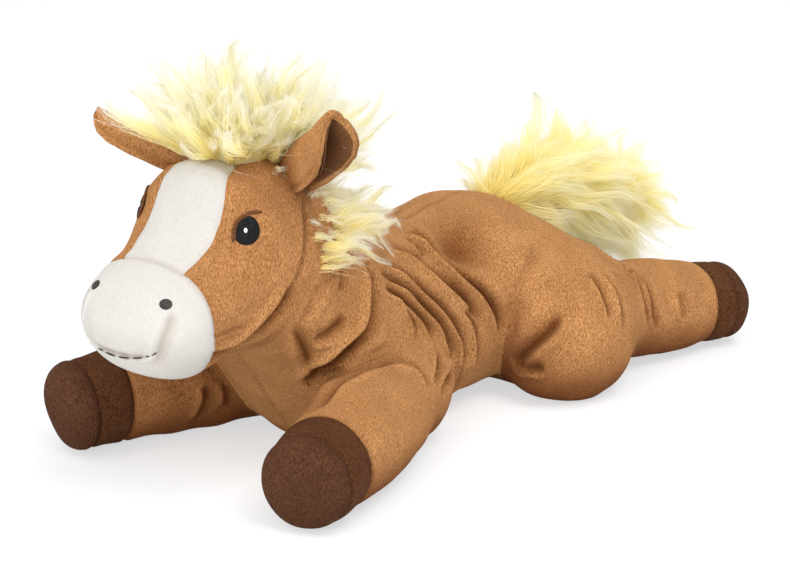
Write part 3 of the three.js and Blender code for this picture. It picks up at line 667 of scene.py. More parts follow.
DARK_BROWN, LIGHT_BROWN = (0.20, 0.052, 0.009), (0.94, 0.50, 0.205)
BROWN_PILE = (0.52, 0.18, 0.85, 0.3)
# The brown plush for the trunk and ears, with painted shade where other surfaces cover it
BROWN = short_pile("brown_plush", DARK_BROWN, LIGHT_BROWN, *BROWN_PILE, (0.52, 0.33, 0.21), near=11)
# The same plush with deeper painted shade that reaches further, for the legs
LEG_BROWN_DEEP_SHADE = short_pile("brown_leg_plush_deep_shade", DARK_BROWN, LIGHT_BROWN, *BROWN_PILE, (0.28, 0.12, 0.045), near=60)
# The same plush for the head, a little darker in its light colour and with no painted cover shade
FACE_BROWN = short_pile("brown_face_plush", DARK_BROWN, (0.86, 0.45, 0.185), *BROWN_PILE)
# Cream plush, with painted shade where other surfaces cover it
CREAM = short_pile("cream_plush", (0.68, 0.665, 0.635), (0.84, 0.825, 0.80), 0.6, 0.22, 0.8, 0.1,
                   (0.84, 0.78, 0.70), (0.97, 0.965, 0.955))
HOOF_PILE = (0.6, 0.16, 1.0, 0.14)
HOOF = short_pile("hoof_plush", (0.035, 0.012, 0.004), (0.24, 0.100, 0.045), *HOOF_PILE)
SOLE = short_pile("sole_plush", (0.04, 0.015, 0.007), (0.21, 0.092, 0.048), *HOOF_PILE)
# The ear's lining: the brown plush darkened to paint the shade inside the folded ear
LINING_SHADED = short_pile("ear_lining", (0.13, 0.05, 0.018), (0.36, 0.17, 0.075), 0.6, 0.16, 1.0, 0.2)
FUR = long_fur("long_fur")
BLACK = stitched("black_thread", (0.002, 0.002, 0.002), (0.013, 0.0125, 0.013))
WHITE = stitched("white_thread", (0.85, 0.85, 0.85), (0.95, 0.95, 0.95))
BROWN_THREAD = stitched("brown_thread", (0.07, 0.025, 0.008), (0.19, 0.075, 0.030))
DARK_THREAD = stitched("dark_thread", (0.02, 0.017, 0.016), (0.07, 0.06, 0.055))


# Fields: about how far points lie outside a form, in millimetres, negative inside


def form_field(points, section, share, caps, length):
    beyond = np.maximum(-share, share - 1) * length
    share = np.clip(share, 0.004, 0.996)
    here = section(share)
    full = np.maximum(fullness(share, *caps), 0.03)
    off = points - here["centre"]
    x, height = off[:, 0], np.einsum("ij,ij->i", off, here["up"])
    reach = np.where(height > 0, here["rise"], here["drop"]) * full
    tall = np.clip(height / reach, -1.3, 1.3)
    half = here["half"] * full * (1 - here["taper"] * tall)
    power = here["power"]
    ratio = (np.abs(x / half) ** power + np.abs(height / reach) ** power) ** (1 / power)
    value = (ratio - 1) * np.minimum(half, reach)
    return np.where(beyond > 0, np.hypot(np.maximum(value, 0), beyond), value)


def levelled(field):
    """The same field scaled to true distance near its surface."""
    step = 0.4

    def at(points):
        value = field(points)
        slope = np.stack([field(points + move) - value for move in np.eye(3) * step], 1) / step
        return value / np.maximum(np.linalg.norm(slope, axis=1), 0.3)

    return at


TRUNK_CAPS = (0.12, 0.16)
HEAD_CAPS = (CRANIUM_RADIUS / HEAD_LENGTH, 0.2)


@levelled
def trunk_field(points):
    share = (points[:, 1] + NECK_REACH) / TRUNK_LENGTH
    return form_field(points, trunk_section, share, TRUNK_CAPS, TRUNK_LENGTH)


@levelled
def head_field(points):
    share = (head_coords(points)[1] + CRANIUM_RADIUS) / HEAD_LENGTH
    return form_field(points, head_section, share, HEAD_CAPS, HEAD_LENGTH)


PINCHED = 6
RUMP_ROUND = 22
JAW_ROUND, NAPE_ROUND = 4, 14
# Where each fillet starts to open, and over how far it does
THIGH_TOP, THIGH_RISE = 44, 22
THIGH_BACK, THIGH_RUN = 40, 18
NAPE_FOOT, NAPE_RISE = 96, 34


def hind_fillet(points):
    """Full over the rump, and tight low in front of the thigh where the cloth is pinched."""
    high = np.clip((points[:, 2] - THIGH_TOP) / THIGH_RISE, 0, 1)
    far = np.clip((points[:, 1] - THIGH_BACK) / THIGH_RUN, 0, 1)
    open_share = np.maximum(high, far)
    return PINCHED + RUMP_ROUND * open_share * open_share * (3 - 2 * open_share)


def front_fillet(points):
    return np.full(len(points), float(PINCHED))


def neck_fillet(points):
    """Full at the nape and tight under the jaw."""
    return JAW_ROUND + NAPE_ROUND * np.clip((points[:, 2] - NAPE_FOOT) / NAPE_RISE, 0, 1)


# Each serves a pair of legs. The bow moves a leg's middle outwards, and bulges are round swellings.
LEGS = {
    "front": {
        "pivot": (33, -42, 26), "radius": 26.5, "sole": (76, -163, 21.7), "leg": 25.5, "bow": 9, "hoof": 32,
        "bulges": [], "blend": 7, "fillet": front_fillet,
    },
    "hind": {
        "pivot": (46, 76, 34.5), "radius": 35, "sole": (82, 194, 21.7), "leg": 26, "bow": -6, "hoof": 27,
        "bulges": [((61, 54, 26.5), 26), ((60, 66, 30), 31)], "blend": 16, "fillet": hind_fillet,
    },
}


def smooth_min(a, b, k):
    h = np.clip(0.5 + 0.5 * (b - a) / k, 0, 1)
    return b * (1 - h) + a * h - k * h * (1 - h)


def leg_line(spec, share):
    """Points along the middle of a left leg, and its direction and girth there."""
    pivot, sole = np.array(spec["pivot"], float), np.array(spec["sole"], float)
    knee = (pivot + sole) / 2
    knee[0] += spec["bow"]
    knee[2] = spec["leg"] - 0.5
    girth = curve([(0, spec["radius"] * 0.95), (0.3, spec["leg"] * 1.03), (0.55, spec["leg"]),
                   (0.8, HOOF_RADIUS), (1, HOOF_RADIUS)])
    t = share[:, None]
    centre = (1 - t) ** 2 * pivot + 2 * t * (1 - t) * knee + t**2 * sole
    tangent = 2 * (1 - t) * (knee - pivot) + 2 * t * (sole - knee)
    tangent[:, 2] = 0
    return centre, unit(tangent), girth(share)


def leg_field(spec):
    """A leg's field. It serves both sides, because it mirrors the points to the left."""
    centres, _, girths = leg_line(spec, np.linspace(0, 1, 36))

    def at(points):
        p = points.copy()
        p[:, 0] = np.abs(p[:, 0])
        best = np.full(len(p), 1e9)
        for centre, girth in zip(centres, girths):
            best = np.minimum(best, np.linalg.norm(p - centre, axis=1) - girth)
        for middle, size in [(spec["pivot"], spec["radius"] * 1.02), *spec["bulges"]]:
            best = smooth_min(best, np.linalg.norm(p - np.array(middle, float), axis=1) - size, spec["blend"])
        return best

    return at


LEG_FIELDS = {name: leg_field(spec) for name, spec in LEGS.items()}
LEG_SPACING = 1.15
SHAPED_SHARE = 0.75
SHAPED_FADE = 0.15
FARTHEST = 90.0
SOLE_SQUARENESS = 2.5
SOLE_RINGS = 22
ROOT_REACH = 42
HALVINGS = 13


def leg_rings(name):
    """A left leg's rings, its rear pole, its sole's middle, and each ring's depth behind the sole's front.

    The rings lie on the leg's field, and near the hoof on its plain girth."""
    spec = LEGS[name]
    length = np.linalg.norm(np.subtract(spec["sole"], spec["pivot"]))
    share = np.linspace(0, 1 - SOLE_DEPTH / length, int(length / LEG_SPACING))
    dome = np.linspace(0, np.pi / 2, SOLE_RINGS)[1:-1]
    at = np.concatenate([share, share[-1] + (1 - share[-1]) * power_of(np.sin(dome), SOLE_SQUARENESS)])
    shrink = np.concatenate([np.ones(len(share)), power_of(np.cos(dome), SOLE_SQUARENESS)])
    centre, tangent, girth = leg_line(spec, at)
    side = np.cross(tangent, UP)
    sides = int(2 * np.pi * spec["leg"] / LEG_SPACING)
    angle = (2 * np.pi * np.arange(sides) / sides - np.pi / 2)[None, :, None]
    radial = np.cos(angle) * side[:, None] + np.sin(angle) * UP
    cap = np.linspace(0, np.pi / 2, int(np.pi / 2 * ROOT_REACH / LEG_SPACING))[1:-1][::-1]
    back = np.cos(cap)[:, None, None] * radial[0] - np.sin(cap)[:, None, None] * tangent[0]
    direction = np.concatenate([back, radial])
    origin = np.concatenate([np.repeat(centre[:1], len(cap), 0), centre])[:, None] * np.ones((1, sides, 1))
    root = np.full((len(cap), sides), spec["radius"])
    plain = np.concatenate([root, (girth * shrink)[:, None] * np.ones(sides)])
    low, high = np.zeros(plain.size), np.full(plain.size, FARTHEST)
    flat_origin, flat_direction = origin.reshape(-1, 3), direction.reshape(-1, 3)
    field = LEG_FIELDS[name]
    for _ in range(HALVINGS):
        middle = (low + high) / 2
        inside = field(flat_origin + flat_direction * middle[:, None]) < 0
        low, high = np.where(inside, middle, low), np.where(inside, high, middle)
    far = np.concatenate([np.zeros(len(cap)), at])[:, None]
    weight = np.clip((SHAPED_SHARE - far) / SHAPED_FADE, 0, 1)
    reach = low.reshape(plain.shape) * weight + plain * (1 - weight)
    rings = origin + direction * reach[..., None]
    depth = np.concatenate([np.full(len(cap), length), (1 - at) * length])
    rear = centre[0] - tangent[0] * reach[0].mean()
    return rings, rear, np.array(spec["sole"], float), depth


def flatten_low(points):
    """The skin rests flat where it would go under the floor."""
    soft = 2.5
    z = points[:, 2]
    points[:, 2] = np.where(z < soft, soft * np.exp(np.minimum(z - soft, 0) / soft), z)


# Skins of the toy


SEAM_WIDTH = 1.3
HOOF_SEAM = 1.3


def seam_dip(distance, depth=1.0):
    return -depth * np.exp(-((distance / SEAM_WIDTH) ** 2))


def eased(share):
    share = np.clip(share, 0, 1)
    return share * share * (3 - 2 * share)


FUSE_RANGE = 36
FUSE_STEPS = 12
FUSE_PACE = 0.95
FUSE_LIMIT = 0.7
TUCK = 1.0
COVER = 2.5
FADE = 14.0


def fuse(points, tris, own, other, fillet):
    """Moves a skin out to its smooth union with another form, and tucks what lies in that form under it.

    Gives how much nearer each point is to its own form than to the other."""
    skin = points[:, :3].copy()
    facing = normals(points, tris)
    apart = other(skin)
    move = np.where(apart < 0, -TUCK, 0.0)
    lead = apart.copy()
    near = np.abs(apart) < FUSE_RANGE
    p, n = skin[near], facing[near]
    out = np.zeros(len(p))
    for _ in range(FUSE_STEPS):
        at = p + n * out[:, None]
        reach = fillet(at)
        out = np.clip(out - FUSE_PACE * smooth_min(own(at), other(at), reach), 0, reach * FUSE_LIMIT)
    at = p + n * out[:, None]
    lead[near] = other(at) - own(at)
    move[near] = out * eased(1 + lead[near] / FADE) - TUCK * (1 - eased(1 + lead[near] / COVER))
    points[:, :3] += facing * move[:, None]
    return lead


# Steps over each round end and between them, and sides
TRUNK_STEPS = (44, 230, 360)
HEAD_STEPS = (46, 80, 250)


def lofted_skin(section, caps, cap_steps, middle_steps, sides):
    rings = loft(section, stations(*caps, cap_steps, middle_steps)[1:-1], sides, *caps)
    ends = section(np.array([0.0, 1.0]))["centre"]
    return grid(rings, ends[0], ends[1])


def build_skins():
    """Every skin before its folds: points, triangles, and each point's lead over its neighbours.

    The head's also holds its plain points, and a leg's each point's depth behind the sole's front."""
    trunk, trunk_tris = lofted_skin(trunk_section, TRUNK_CAPS, *TRUNK_STEPS)
    head, head_tris = lofted_skin(head_section, HEAD_CAPS, *HEAD_STEPS)
    plain_head = head.copy()
    leads = [fuse(trunk, trunk_tris, trunk_field, head_field, neck_fillet)]
    head_lead = fuse(head, head_tris, head_field, trunk_field, neck_fillet)
    skins = {"head": (head, head_tris, head_lead, plain_head)}
    for name, spec in LEGS.items():
        leads.append(fuse(trunk, trunk_tris, trunk_field, LEG_FIELDS[name], spec["fillet"]))
        rings, rear, sole, depth = leg_rings(name)
        points, tris = grid(rings, rear, sole)
        lead = fuse(points, tris, LEG_FIELDS[name], trunk_field, spec["fillet"])
        flatten_low(points)
        skins[name] = (points, tris, lead, np.concatenate([np.repeat(depth, rings.shape[1]), [depth[0], 0]]))
    flatten_low(trunk)
    skins["trunk"] = (trunk, trunk_tris, np.min(leads, axis=0))
    return skins


# Skin that lies deeper than this in its neighbour is left out
HIDDEN = -30
# The share of a seam's dip that is painted as shade
SEAM_SHADE = 0.6
OFF_BLAZE = -30
LEG_BEND = (-10, 38)
blaze_width = curve([(0, 0.36), (0.2, 0.8), (0.4, 1), (0.6, 0.92), (0.8, 0.82), (1, 0.78)])


def dress_trunk(skins, folds):
    points, tris, lead = skins["trunk"]
    skin = points[:, :3].copy()
    seams = seam_dip(np.abs(skin[:, 0]))
    # Painted shade along the seam's groove
    points[:, PAINTED_SHADE] = seams
    move = fold(points, tris, folds, lead) + uneven(skin) + seams
    points[:, :3] += normals(points, tris) * move[:, None]
    points, tris = tidy(points, tris[(lead[tris] > HIDDEN).any(1)])
    for side, sign in SIDES.items():
        part = clip(points, tris, points[:, 0] * sign)
        nodes = [f"trunk_{side}_panel"] + (["belly_gusset", "trunk_filling"] if sign > 0 else [])
        add_piece(f"trunk_{side}_cover", part, BROWN, "head", nodes, NECK_BEND)


def dress_head(skins, folds):
    points, tris, lead, plain = skins["head"]
    x, forward, up = head_coords(plain[:, :3])
    blaze = BLAZE_HALF_WIDTH * blaze_width((forward + BLAZE_BACK) / (MUZZLE_REACH + BLAZE_BACK)) - np.abs(x)
    blaze = np.where(up > 0, np.minimum(blaze, forward + BLAZE_BACK), OFF_BLAZE)
    muzzle = (plain[:, :3] - CRANIUM) @ MUZZLE_AXIS - MUZZLE_SEAM
    dip = seam_dip(muzzle) + np.where(muzzle < 0, seam_dip(blaze, 0.7), 0)
    # Painted shade along the seams' grooves
    points[:, PAINTED_SHADE] = dip * SEAM_SHADE
    move = fold(points, tris, folds, lead) + dip + uneven(plain)
    points[:, :3] += normals(points, tris) * move[:, None]
    stacked = np.concatenate([points, blaze[:, None], muzzle[:, None]], 1)
    stacked, tris = tidy(stacked, tris[(lead[tris] > HIDDEN).any(1)])
    cap = clip(stacked, tris, stacked[:, AT_MUZZLE])
    add_piece("muzzle_cover", cap, CREAM, "head", ["muzzle_cap"])
    rest, rest_tris = clip(stacked, tris, -stacked[:, AT_MUZZLE])
    front = clip(rest, rest_tris, rest[:, AT_BLAZE])
    add_piece("blaze_cover", front, CREAM, "head", ["blaze_panel"])
    cheeks, cheek_tris = clip(rest, rest_tris, -rest[:, AT_BLAZE])
    for side, sign in SIDES.items():
        part = clip(cheeks, cheek_tris, cheeks[:, 0] * sign)
        nodes = [f"head_{side}_panel"] + (["head_filling"] if sign > 0 else [])
        add_piece(f"head_{side}_cover", part, FACE_BROWN, "head", nodes)


def dress_leg(skins, folds, name, side, sign):
    spec = LEGS[name]
    points, tris, lead, depth = skins[name]
    points = points.copy()
    seams = seam_dip(depth - spec["hoof"], HOOF_SEAM) + seam_dip(depth - SOLE_DEPTH, HOOF_SEAM)
    # Painted shade along the hoof's seams
    points[:, PAINTED_SHADE] = seams * SEAM_SHADE
    move = fold(points, tris, folds, lead) + seams + uneven(points)
    points[:, :3] += normals(points, tris) * move[:, None]
    points, tris = on_side(points, tris, sign)
    stacked, tris = tidy(np.concatenate([points, depth[:, None]], 1), tris[(lead[tris] > HIDDEN).any(1)])
    body = f"leg_{name}_{side}"
    node = f"{name}_{side}"
    pivot = np.array(spec["pivot"], float)
    along = unit(np.subtract(spec["sole"], spec["pivot"]))
    bend = [(pivot + along * reach) * (sign, 1, 1) for reach in LEG_BEND]
    sleeve = clip(stacked, tris, stacked[:, AT_DEPTH] - spec["hoof"])
    nodes = [f"{node}_leg_sleeve", f"{node}_leg_filling"]
    add_piece(f"{node}_sleeve", sleeve, LEG_BROWN_DEEP_SHADE, body, nodes, bend)
    hoof, hoof_tris = clip(stacked, tris, spec["hoof"] - stacked[:, AT_DEPTH])
    wall = clip(hoof, hoof_tris, hoof[:, AT_DEPTH] - SOLE_DEPTH)
    add_piece(f"{node}_hoof", wall, HOOF, body, [f"{node}_hoof_wall"])
    end = clip(hoof, hoof_tris, SOLE_DEPTH - hoof[:, AT_DEPTH])
    add_piece(f"{node}_sole", end, SOLE, body, [f"{node}_hoof_sole"])


def dress_bodies():
    """Dresses the trunk, the head and the legs. Gives the plain head, for what is sewn on it."""
    skins = build_skins()
    parts = []
    for name, (points, tris, *_) in skins.items():
        for sign in SIDES.values() if name in LEGS else (1,):
            parts.append((points[:, :3] * (sign, 1, 1), tris))
    folds = cast_folds(tree_of(*merged(parts)))
    dress_trunk(skins, folds)
    dress_head(skins, folds)
    for side, sign in SIDES.items():
        for name in LEGS:
            dress_leg(skins, folds, name, side, sign)
    return tree_of(skins["head"][3], skins["head"][1])


# Ears

ROOT_RISE = 6.0
ROOT_LIFT = math.radians(52)
ROOT_BACK = math.radians(13)


def heading_of(lift, sweep):
    """The direction that rises by lift and turns by sweep from the toy's left."""
    return np.array([math.cos(lift) * math.cos(sweep), math.cos(lift) * math.sin(sweep), math.sin(lift)])


EAR_ROOT = CRANIUM + (CRANIUM_RADIUS + ROOT_RISE) * heading_of(ROOT_LIFT, ROOT_BACK)
# Each ear's lift, sweep and roll in degrees
EAR_POSES = {"left": (33, -20, -96), "right": (24, -38, -118)}
EAR_SHIFTS = {"left": -12.5, "right": -1.5}
EAR_GROWTH = {"left": 1, "right": 1.1}
EAR_SPREADS = {"left": 24.5, "right": 16.5}
ear_width = curve([(0, 0.85), (0.25, 0.97), (0.5, 1), (0.75, 0.97), (0.88, 0.88), (0.96, 0.68), (1, 0.42)])


def turn_about(v, axis, angle):
    axis = unit(axis)
    along = axis * (axis @ v) * (1 - math.cos(angle))
    return v * math.cos(angle) + np.cross(axis, v) * math.sin(angle) + along


def ear_frame(side):
    lift, sweep, roll = (math.radians(a) for a in EAR_POSES[side])
    along = heading_of(lift, sweep)
    back = unit(np.array([0, 1, 0]) - along * along[1])
    opening = turn_about(back, along, roll)
    return along, opening, np.cross(opening, along)


LEAF_ROWS, LEAF_COLUMNS = 60, 91
FLAP_TURN = 1.52
FOLD_RADIUS = 4.6
RIM_INSET, RIM_WIDTH, RIM_HEIGHT = 3.2, 0.9, 0.9
# How deep each leaf's two faces lie, and where along the ear it starts
SHELL_FACES, SHELL_START = (0, 2.8), -6
LINING_FACES, LINING_START = (2.9, 3.6), 4


def ear_leaf(side, depth, start, rim=0.0):
    """A leaf folded lengthwise, with two flaps, nearly parallel at the root, that part towards the tip."""
    along, opening, across = ear_frame(side)
    share = np.linspace(0, 1, LEAF_ROWS)[:, None]
    half = np.maximum(ear_width(share) * EAR_SPREADS[side] - depth * 0.5, 0.2)
    s = half * np.linspace(-1, 1, LEAF_COLUMNS)[None]
    turn = (FLAP_TURN - 0.3 * share**2) * np.tanh(s / (FOLD_RADIUS + 1.5 * share))
    bend = (turn[:, 1:] + turn[:, :-1]) / 2
    step = np.diff(s, axis=1)
    start_row = np.zeros((LEAF_ROWS, 1))
    x = np.concatenate([start_row, np.cumsum(np.cos(bend) * step, 1)], 1)
    y = np.concatenate([start_row, np.cumsum(np.sin(bend) * step, 1)], 1)
    x -= x[:, LEAF_COLUMNS // 2, None]
    y -= y[:, LEAF_COLUMNS // 2, None]
    rim_lift = rim * np.exp(-(((half - np.abs(s) - RIM_INSET) / RIM_WIDTH) ** 2))
    lift = depth + rim_lift + 0.35 * np.sin(share * 11 + s * 0.35)
    x, y = x - np.sin(turn) * lift, y + np.cos(turn) * lift
    reach = EAR_LENGTH * EAR_GROWTH[side]
    centre = EAR_ROOT + (start + (reach - start - depth * 0.5) * share)[..., None] * along
    centre = centre + opening * EAR_SHIFTS[side]
    return centre + x[..., None] * across + y[..., None] * opening


def dress_ear(side, sign):
    leaves = (
        ("ear_cover", "ear_shell", BROWN, SHELL_FACES, SHELL_START, RIM_HEIGHT),
        ("ear_inside", "ear_lining", LINING_SHADED, LINING_FACES, LINING_START, 0),
    )
    for name, node, material, faces, start, rim in leaves:
        outer, inner = ear_leaf(side, faces[0], start, rim), ear_leaf(side, faces[1], start)
        rings = np.concatenate([outer, inner[:, ::-1]], 1)
        leaf = on_side(*grid(rings, rings[0].mean(0), rings[-1].mean(0)), sign)
        add_piece(f"{side}_{name}", leaf, material, f"ear_{side}", [f"{side}_{node}"])


# Long fur

# Strands flatten out between the floor and the top of the room that they may take
FUR_FLOOR = 1.5
FUR_BEND = 186
FUR_ROOM = 20
# What is left of a strand that would hang into the face
FUR_CUT = 0.15
STRANDS = 15500
STRAND_STEPS = 7
STRAND_HALF_WIDTHS = (0.08, 0.2)
WISP_SHARE = 0.3
LOOSE_SHARE = 0.03
CORE_TONE = 0.3
WAVE_SCATTER, LOCK_SCATTER, STRAND_SCATTER = 0.25, 0.3, 0.12
# How far apart a lock's strands stay at its tip, as a share of their roots' distance
TIP_SHARE = 0.12


def ribbons(path, width, shift):
    """Flat tapered strands through points of shape (strands, steps, xyz), with each point's tone."""
    count, steps = path.shape[:2]
    tangent = np.gradient(path, axis=1)
    side = unit(np.cross(tangent, unit(rng.normal(size=(count, 1, 3)))))
    share = np.linspace(0, 1, steps)[None, :, None]
    half = width[:, None, None] * (1 - 0.9 * share**1.5)
    points = np.stack([path - side * half, path + side * half], 2).reshape(-1, 3)
    tone = np.repeat(np.clip(share[..., 0] + shift[:, None], 0, 1)[..., None], 2, 2).reshape(-1)
    base = np.arange(count)[:, None] * steps * 2 + np.arange(steps - 1)[None] * 2
    a, b, c, d = base, base + 1, base + 2, base + 3
    tris = np.concatenate([np.stack([a, b, d], 2).reshape(-1, 3), np.stack([a, d, c], 2).reshape(-1, 3)])
    return np.concatenate([points, np.zeros((len(points), 3))], 1), tris, tone


def locks(roots, aim, sag, length, curl, clumps):
    """Strands that wave together in locks, each drawn towards its lock's leader at the tip."""
    count = len(roots)
    t = np.linspace(0, 1, STRAND_STEPS)[None, :, None]
    leaders = rng.choice(count, clumps, replace=False)
    gaps = ((roots[:, None] - roots[leaders][None]) ** 2).sum(2)
    mine = gaps.argmin(1)
    waves = unit(rng.normal(size=(clumps, 2, 3)))[mine] + rng.normal(size=(count, 2, 3)) * WAVE_SCATTER
    phase = rng.uniform(0, 6.28, (clumps, 2))[mine]
    pace = rng.uniform([0.5, 1.2], [1.0, 2.2], (clumps, 2))[mine]
    size = rng.uniform([0.6, 0.2], [1.2, 0.5], (clumps, 2))[mine]
    spread = rng.normal(size=(clumps, 3))[mine] * LOCK_SCATTER
    aim = unit(aim + spread + rng.normal(size=(count, 3)) * STRAND_SCATTER)
    wisp = rng.random(clumps) < WISP_SHARE
    lengths = np.where(wisp, rng.uniform(0.85, 1.12, clumps), rng.uniform(0.55, 0.85, clumps))
    reach = (length * lengths[mine] * rng.uniform(0.8, 1.05, count))[:, None, None]
    path = roots[:, None] + aim[:, None] * reach * t + sag[:, None] * reach * t**2
    for k in range(2):
        start = phase[:, k, None, None]
        swing = np.sin(2 * np.pi * pace[:, k, None, None] * t + start) - np.sin(start)
        path = path + waves[:, k][:, None] * swing * size[:, k, None, None] * curl * reach * t
    pull = rng.uniform(0.45, 0.92, (count, 1, 1)) * np.clip(t * 1.3, 0, 1) ** 1.5
    pull = np.where(wisp[mine][:, None, None], np.clip(pull * 1.25, 0, 0.96), pull)
    pull[rng.random(count) < LOOSE_SHARE] = 0
    lead = path[leaders][mine]
    return path * (1 - pull) + (lead + (roots - roots[leaders[mine]])[:, None] * TIP_SHARE) * pull


# Each fur's length in millimetres, its curl and its number of locks
FORELOCK_FUR = (51, 0.18, 260)
NECK_FUR = (29, 0.2, 320)
TAIL_FUR = (43, 0.2, 260)


def fur_piece(name, roots, aim, sag, kind, body, core, nodes=(), bend=None, fall=60, pale=1.0):
    """Strands in locks over a plain core of their own colour, as one piece.

    A strand whose tip falls further than fall below its root is cut short."""
    path = locks(roots, aim, sag, *kind)
    dropped = roots[:, 2] - path[:, -1, 2] > fall
    path[dropped] = roots[dropped, None] + (path[dropped] - roots[dropped, None]) * FUR_CUT
    high = np.maximum(path[..., 2] - FUR_BEND, 0)
    path[..., 2] = np.clip(path[..., 2], FUR_FLOOR, FUR_BEND) + FUR_ROOM * (1 - np.exp(-high / FUR_ROOM))
    width = rng.uniform(*STRAND_HALF_WIDTHS, len(roots))
    points, tris, tone = ribbons(path, width, rng.normal(size=len(roots)) * 0.1)
    tone = np.concatenate([tone * pale, np.full(len(core[0]), CORE_TONE)])
    add_piece(name, merged([(points, tris), core]), FUR, body, nodes, bend=bend, tip=tone)


BLOB_RINGS, BLOB_SIDES = 20, 32


def blob(centre, halves, axes=np.eye(3)):
    """A plain egg that fills the middle of a bundle of fur."""
    lift = np.linspace(-np.pi / 2, np.pi / 2, BLOB_RINGS)[1:-1, None]
    angle = np.linspace(0, 2 * np.pi, BLOB_SIDES, endpoint=False)
    circle = [np.cos(lift) * np.cos(angle), np.cos(lift) * np.sin(angle)]
    shape = np.stack([*circle, np.sin(lift) * np.ones(BLOB_SIDES)], 2) * np.array(halves)
    return grid(shape @ axes + centre, centre - axes[2] * halves[2], centre + axes[2] * halves[2])


# Each part's name, its roots' shares from brow to nape, and how far back its core lies
FORELOCK_PARTS = (("front", (0, 0.5), 12), ("back", (0.4, 1), 26))
FORELOCK_CORE = (18, 15, 19)
CORE_HEIGHT = 50
CREST_HALF_WIDTH, CREST_SWELL = 15, 6
CREST_BROW, CREST_LENGTH, CREST_SINK = 1, 43, 3
# The crown's height over places along the head
CROWN_LINE = ((-43, -25, -8, 8), (24, 42, 49, 51))


def dress_forelock():
    """Fur over the crown, from the brow at v = 0 back to the nape at v = 1. It leaves the left ear clear."""
    for part, shares, core_back in FORELOCK_PARTS:
        u = rng.uniform(-1, 1, STRANDS)
        v = rng.uniform(*shares, STRANDS)
        clear = np.where(u > 0, np.interp(v, [0, 0.5], [0.3, 1]), 1)
        x = u * (CREST_HALF_WIDTH + CREST_SWELL * np.sin(v * np.pi)) * (0.5 + 0.5 * clear)
        forward = CREST_BROW - v * CREST_LENGTH - 0.012 * x**2
        up = np.interp(forward, *CROWN_LINE) - 0.014 * x**2 - CREST_SINK
        roots = CRANIUM + x[:, None] * ACROSS + forward[:, None] * HEAD_AXIS + up[:, None] * HEAD_UP
        outward = u * np.where(u > 0, 0.8, 0.38) * clear - 0.04
        aim = unit(np.stack([outward, -0.3 + v, 1.0 - 0.2 * v], 1))
        sag = np.stack([u * 0.1 * clear - 0.04, -0.04 + v * 0.12, np.full(STRANDS, -0.08)], 1)
        middle = CRANIUM + HEAD_UP * CORE_HEIGHT - HEAD_AXIS * core_back
        core = blob(middle, FORELOCK_CORE, np.array([ACROSS, HEAD_AXIS, HEAD_UP]))
        nodes = ["forelock"] if part == "front" else []
        fur_piece(f"forelock_{part}_fur", roots, aim, sag, FORELOCK_FUR, "head", core, nodes, fall=1)


NECK_FUR_START, NECK_FUR_LENGTH, NECK_FUR_MIDDLE = 112, 62, 80
# Degrees that it reaches round the neck behind the head, and how many fewer at the withers
NECK_FUR_TURN, NECK_FUR_LOSS = 74, 46
NECK_CORE, NECK_CORE_SINK = (14, 22, 8), 6


def dress_neck_mane():
    """Fur over the neck, from the head at v = 0 back to the withers at v = 1."""
    u, v = rng.uniform(-1, 1, STRANDS), rng.uniform(0, 1, STRANDS) ** 1.4
    share = (NECK_REACH - NECK_FUR_START + v * NECK_FUR_LENGTH) / TRUNK_LENGTH
    here = trunk_section(share)
    round_by = u * np.radians(NECK_FUR_TURN - NECK_FUR_LOSS * v)
    across, height = np.sin(round_by), np.cos(round_by)
    roots = here["centre"] + here["up"] * (here["rise"] * height - 1)[:, None]
    roots += here["side"] * (here["half"] * across * (1 - here["taper"] * height) - np.sign(u) * 1.0)[:, None]
    aim = unit(np.stack([across * 0.9, 0.8 + v * 0.2, 0.8 * height], 1))
    sag = np.stack([across * 0.1, np.full(STRANDS, 0.05), np.full(STRANDS, -0.25)], 1)
    middle = trunk_section(np.array([(NECK_REACH - NECK_FUR_MIDDLE) / TRUNK_LENGTH]))
    core = blob(middle["centre"][0] + np.array([0, 0, middle["rise"][0] - NECK_CORE_SINK]), NECK_CORE)
    fur_piece("neck_fur", roots, aim, sag, NECK_FUR, "head", core, ["neck_mane"], NECK_BEND)


TAIL_POINTS = np.array([[0, 88, 86], [0, 150, 100], [0, 226, 40]], float)
# Each part's name, its roots' shares along the tail, and its core's share
TAIL_PARTS = (("root", (-0.08, 0.4), 0.38), ("end", (0.3, 0.78), 0.6))
TAIL_RADIUS, TAIL_SWELL = 10, 8
TAIL_CORE = (17, 17, 36)


def tail_line(share):
    """Points along the middle of the tail, and its direction there."""
    s = np.asarray(share, float)[:, None]
    start, middle, end = TAIL_POINTS
    at = (1 - s) ** 2 * start + 2 * s * (1 - s) * middle + s**2 * end
    return at, unit(2 * (1 - s) * (middle - start) + 2 * s * (end - middle))


def dress_tail():
    for part, shares, core_at in TAIL_PARTS:
        t = rng.uniform(*shares, STRANDS)
        line, tangent = tail_line(t)
        angle = rng.uniform(0, 2 * np.pi, STRANDS)
        lift = np.cross(ACROSS, tangent)
        radial = np.cos(angle)[:, None] * ACROSS + np.sin(angle)[:, None] * lift
        girth = (TAIL_RADIUS + TAIL_SWELL * t)[:, None]
        roots = line + radial * girth * rng.uniform(0.4, 1, STRANDS)[:, None]
        aim = unit(tangent + radial * 0.8 + rng.normal(size=(STRANDS, 3)) * 0.15)
        sag = radial * 0.1 + np.array([0, 0.1, -0.3])
        middle, heading = tail_line([core_at])
        core = blob(middle[0], TAIL_CORE, np.array([ACROSS, np.cross(heading[0], ACROSS), heading[0]]))
        nodes = ["tail"] if part == "root" else []
        fur_piece(f"tail_{part}_fur", roots, aim, sag, TAIL_FUR, "tail", core, nodes, pale=0.85)


# Face


def on_head(tree, direction, origin):
    return np.array(tree.ray_cast(Vector(origin), Vector(unit(direction)))[0])


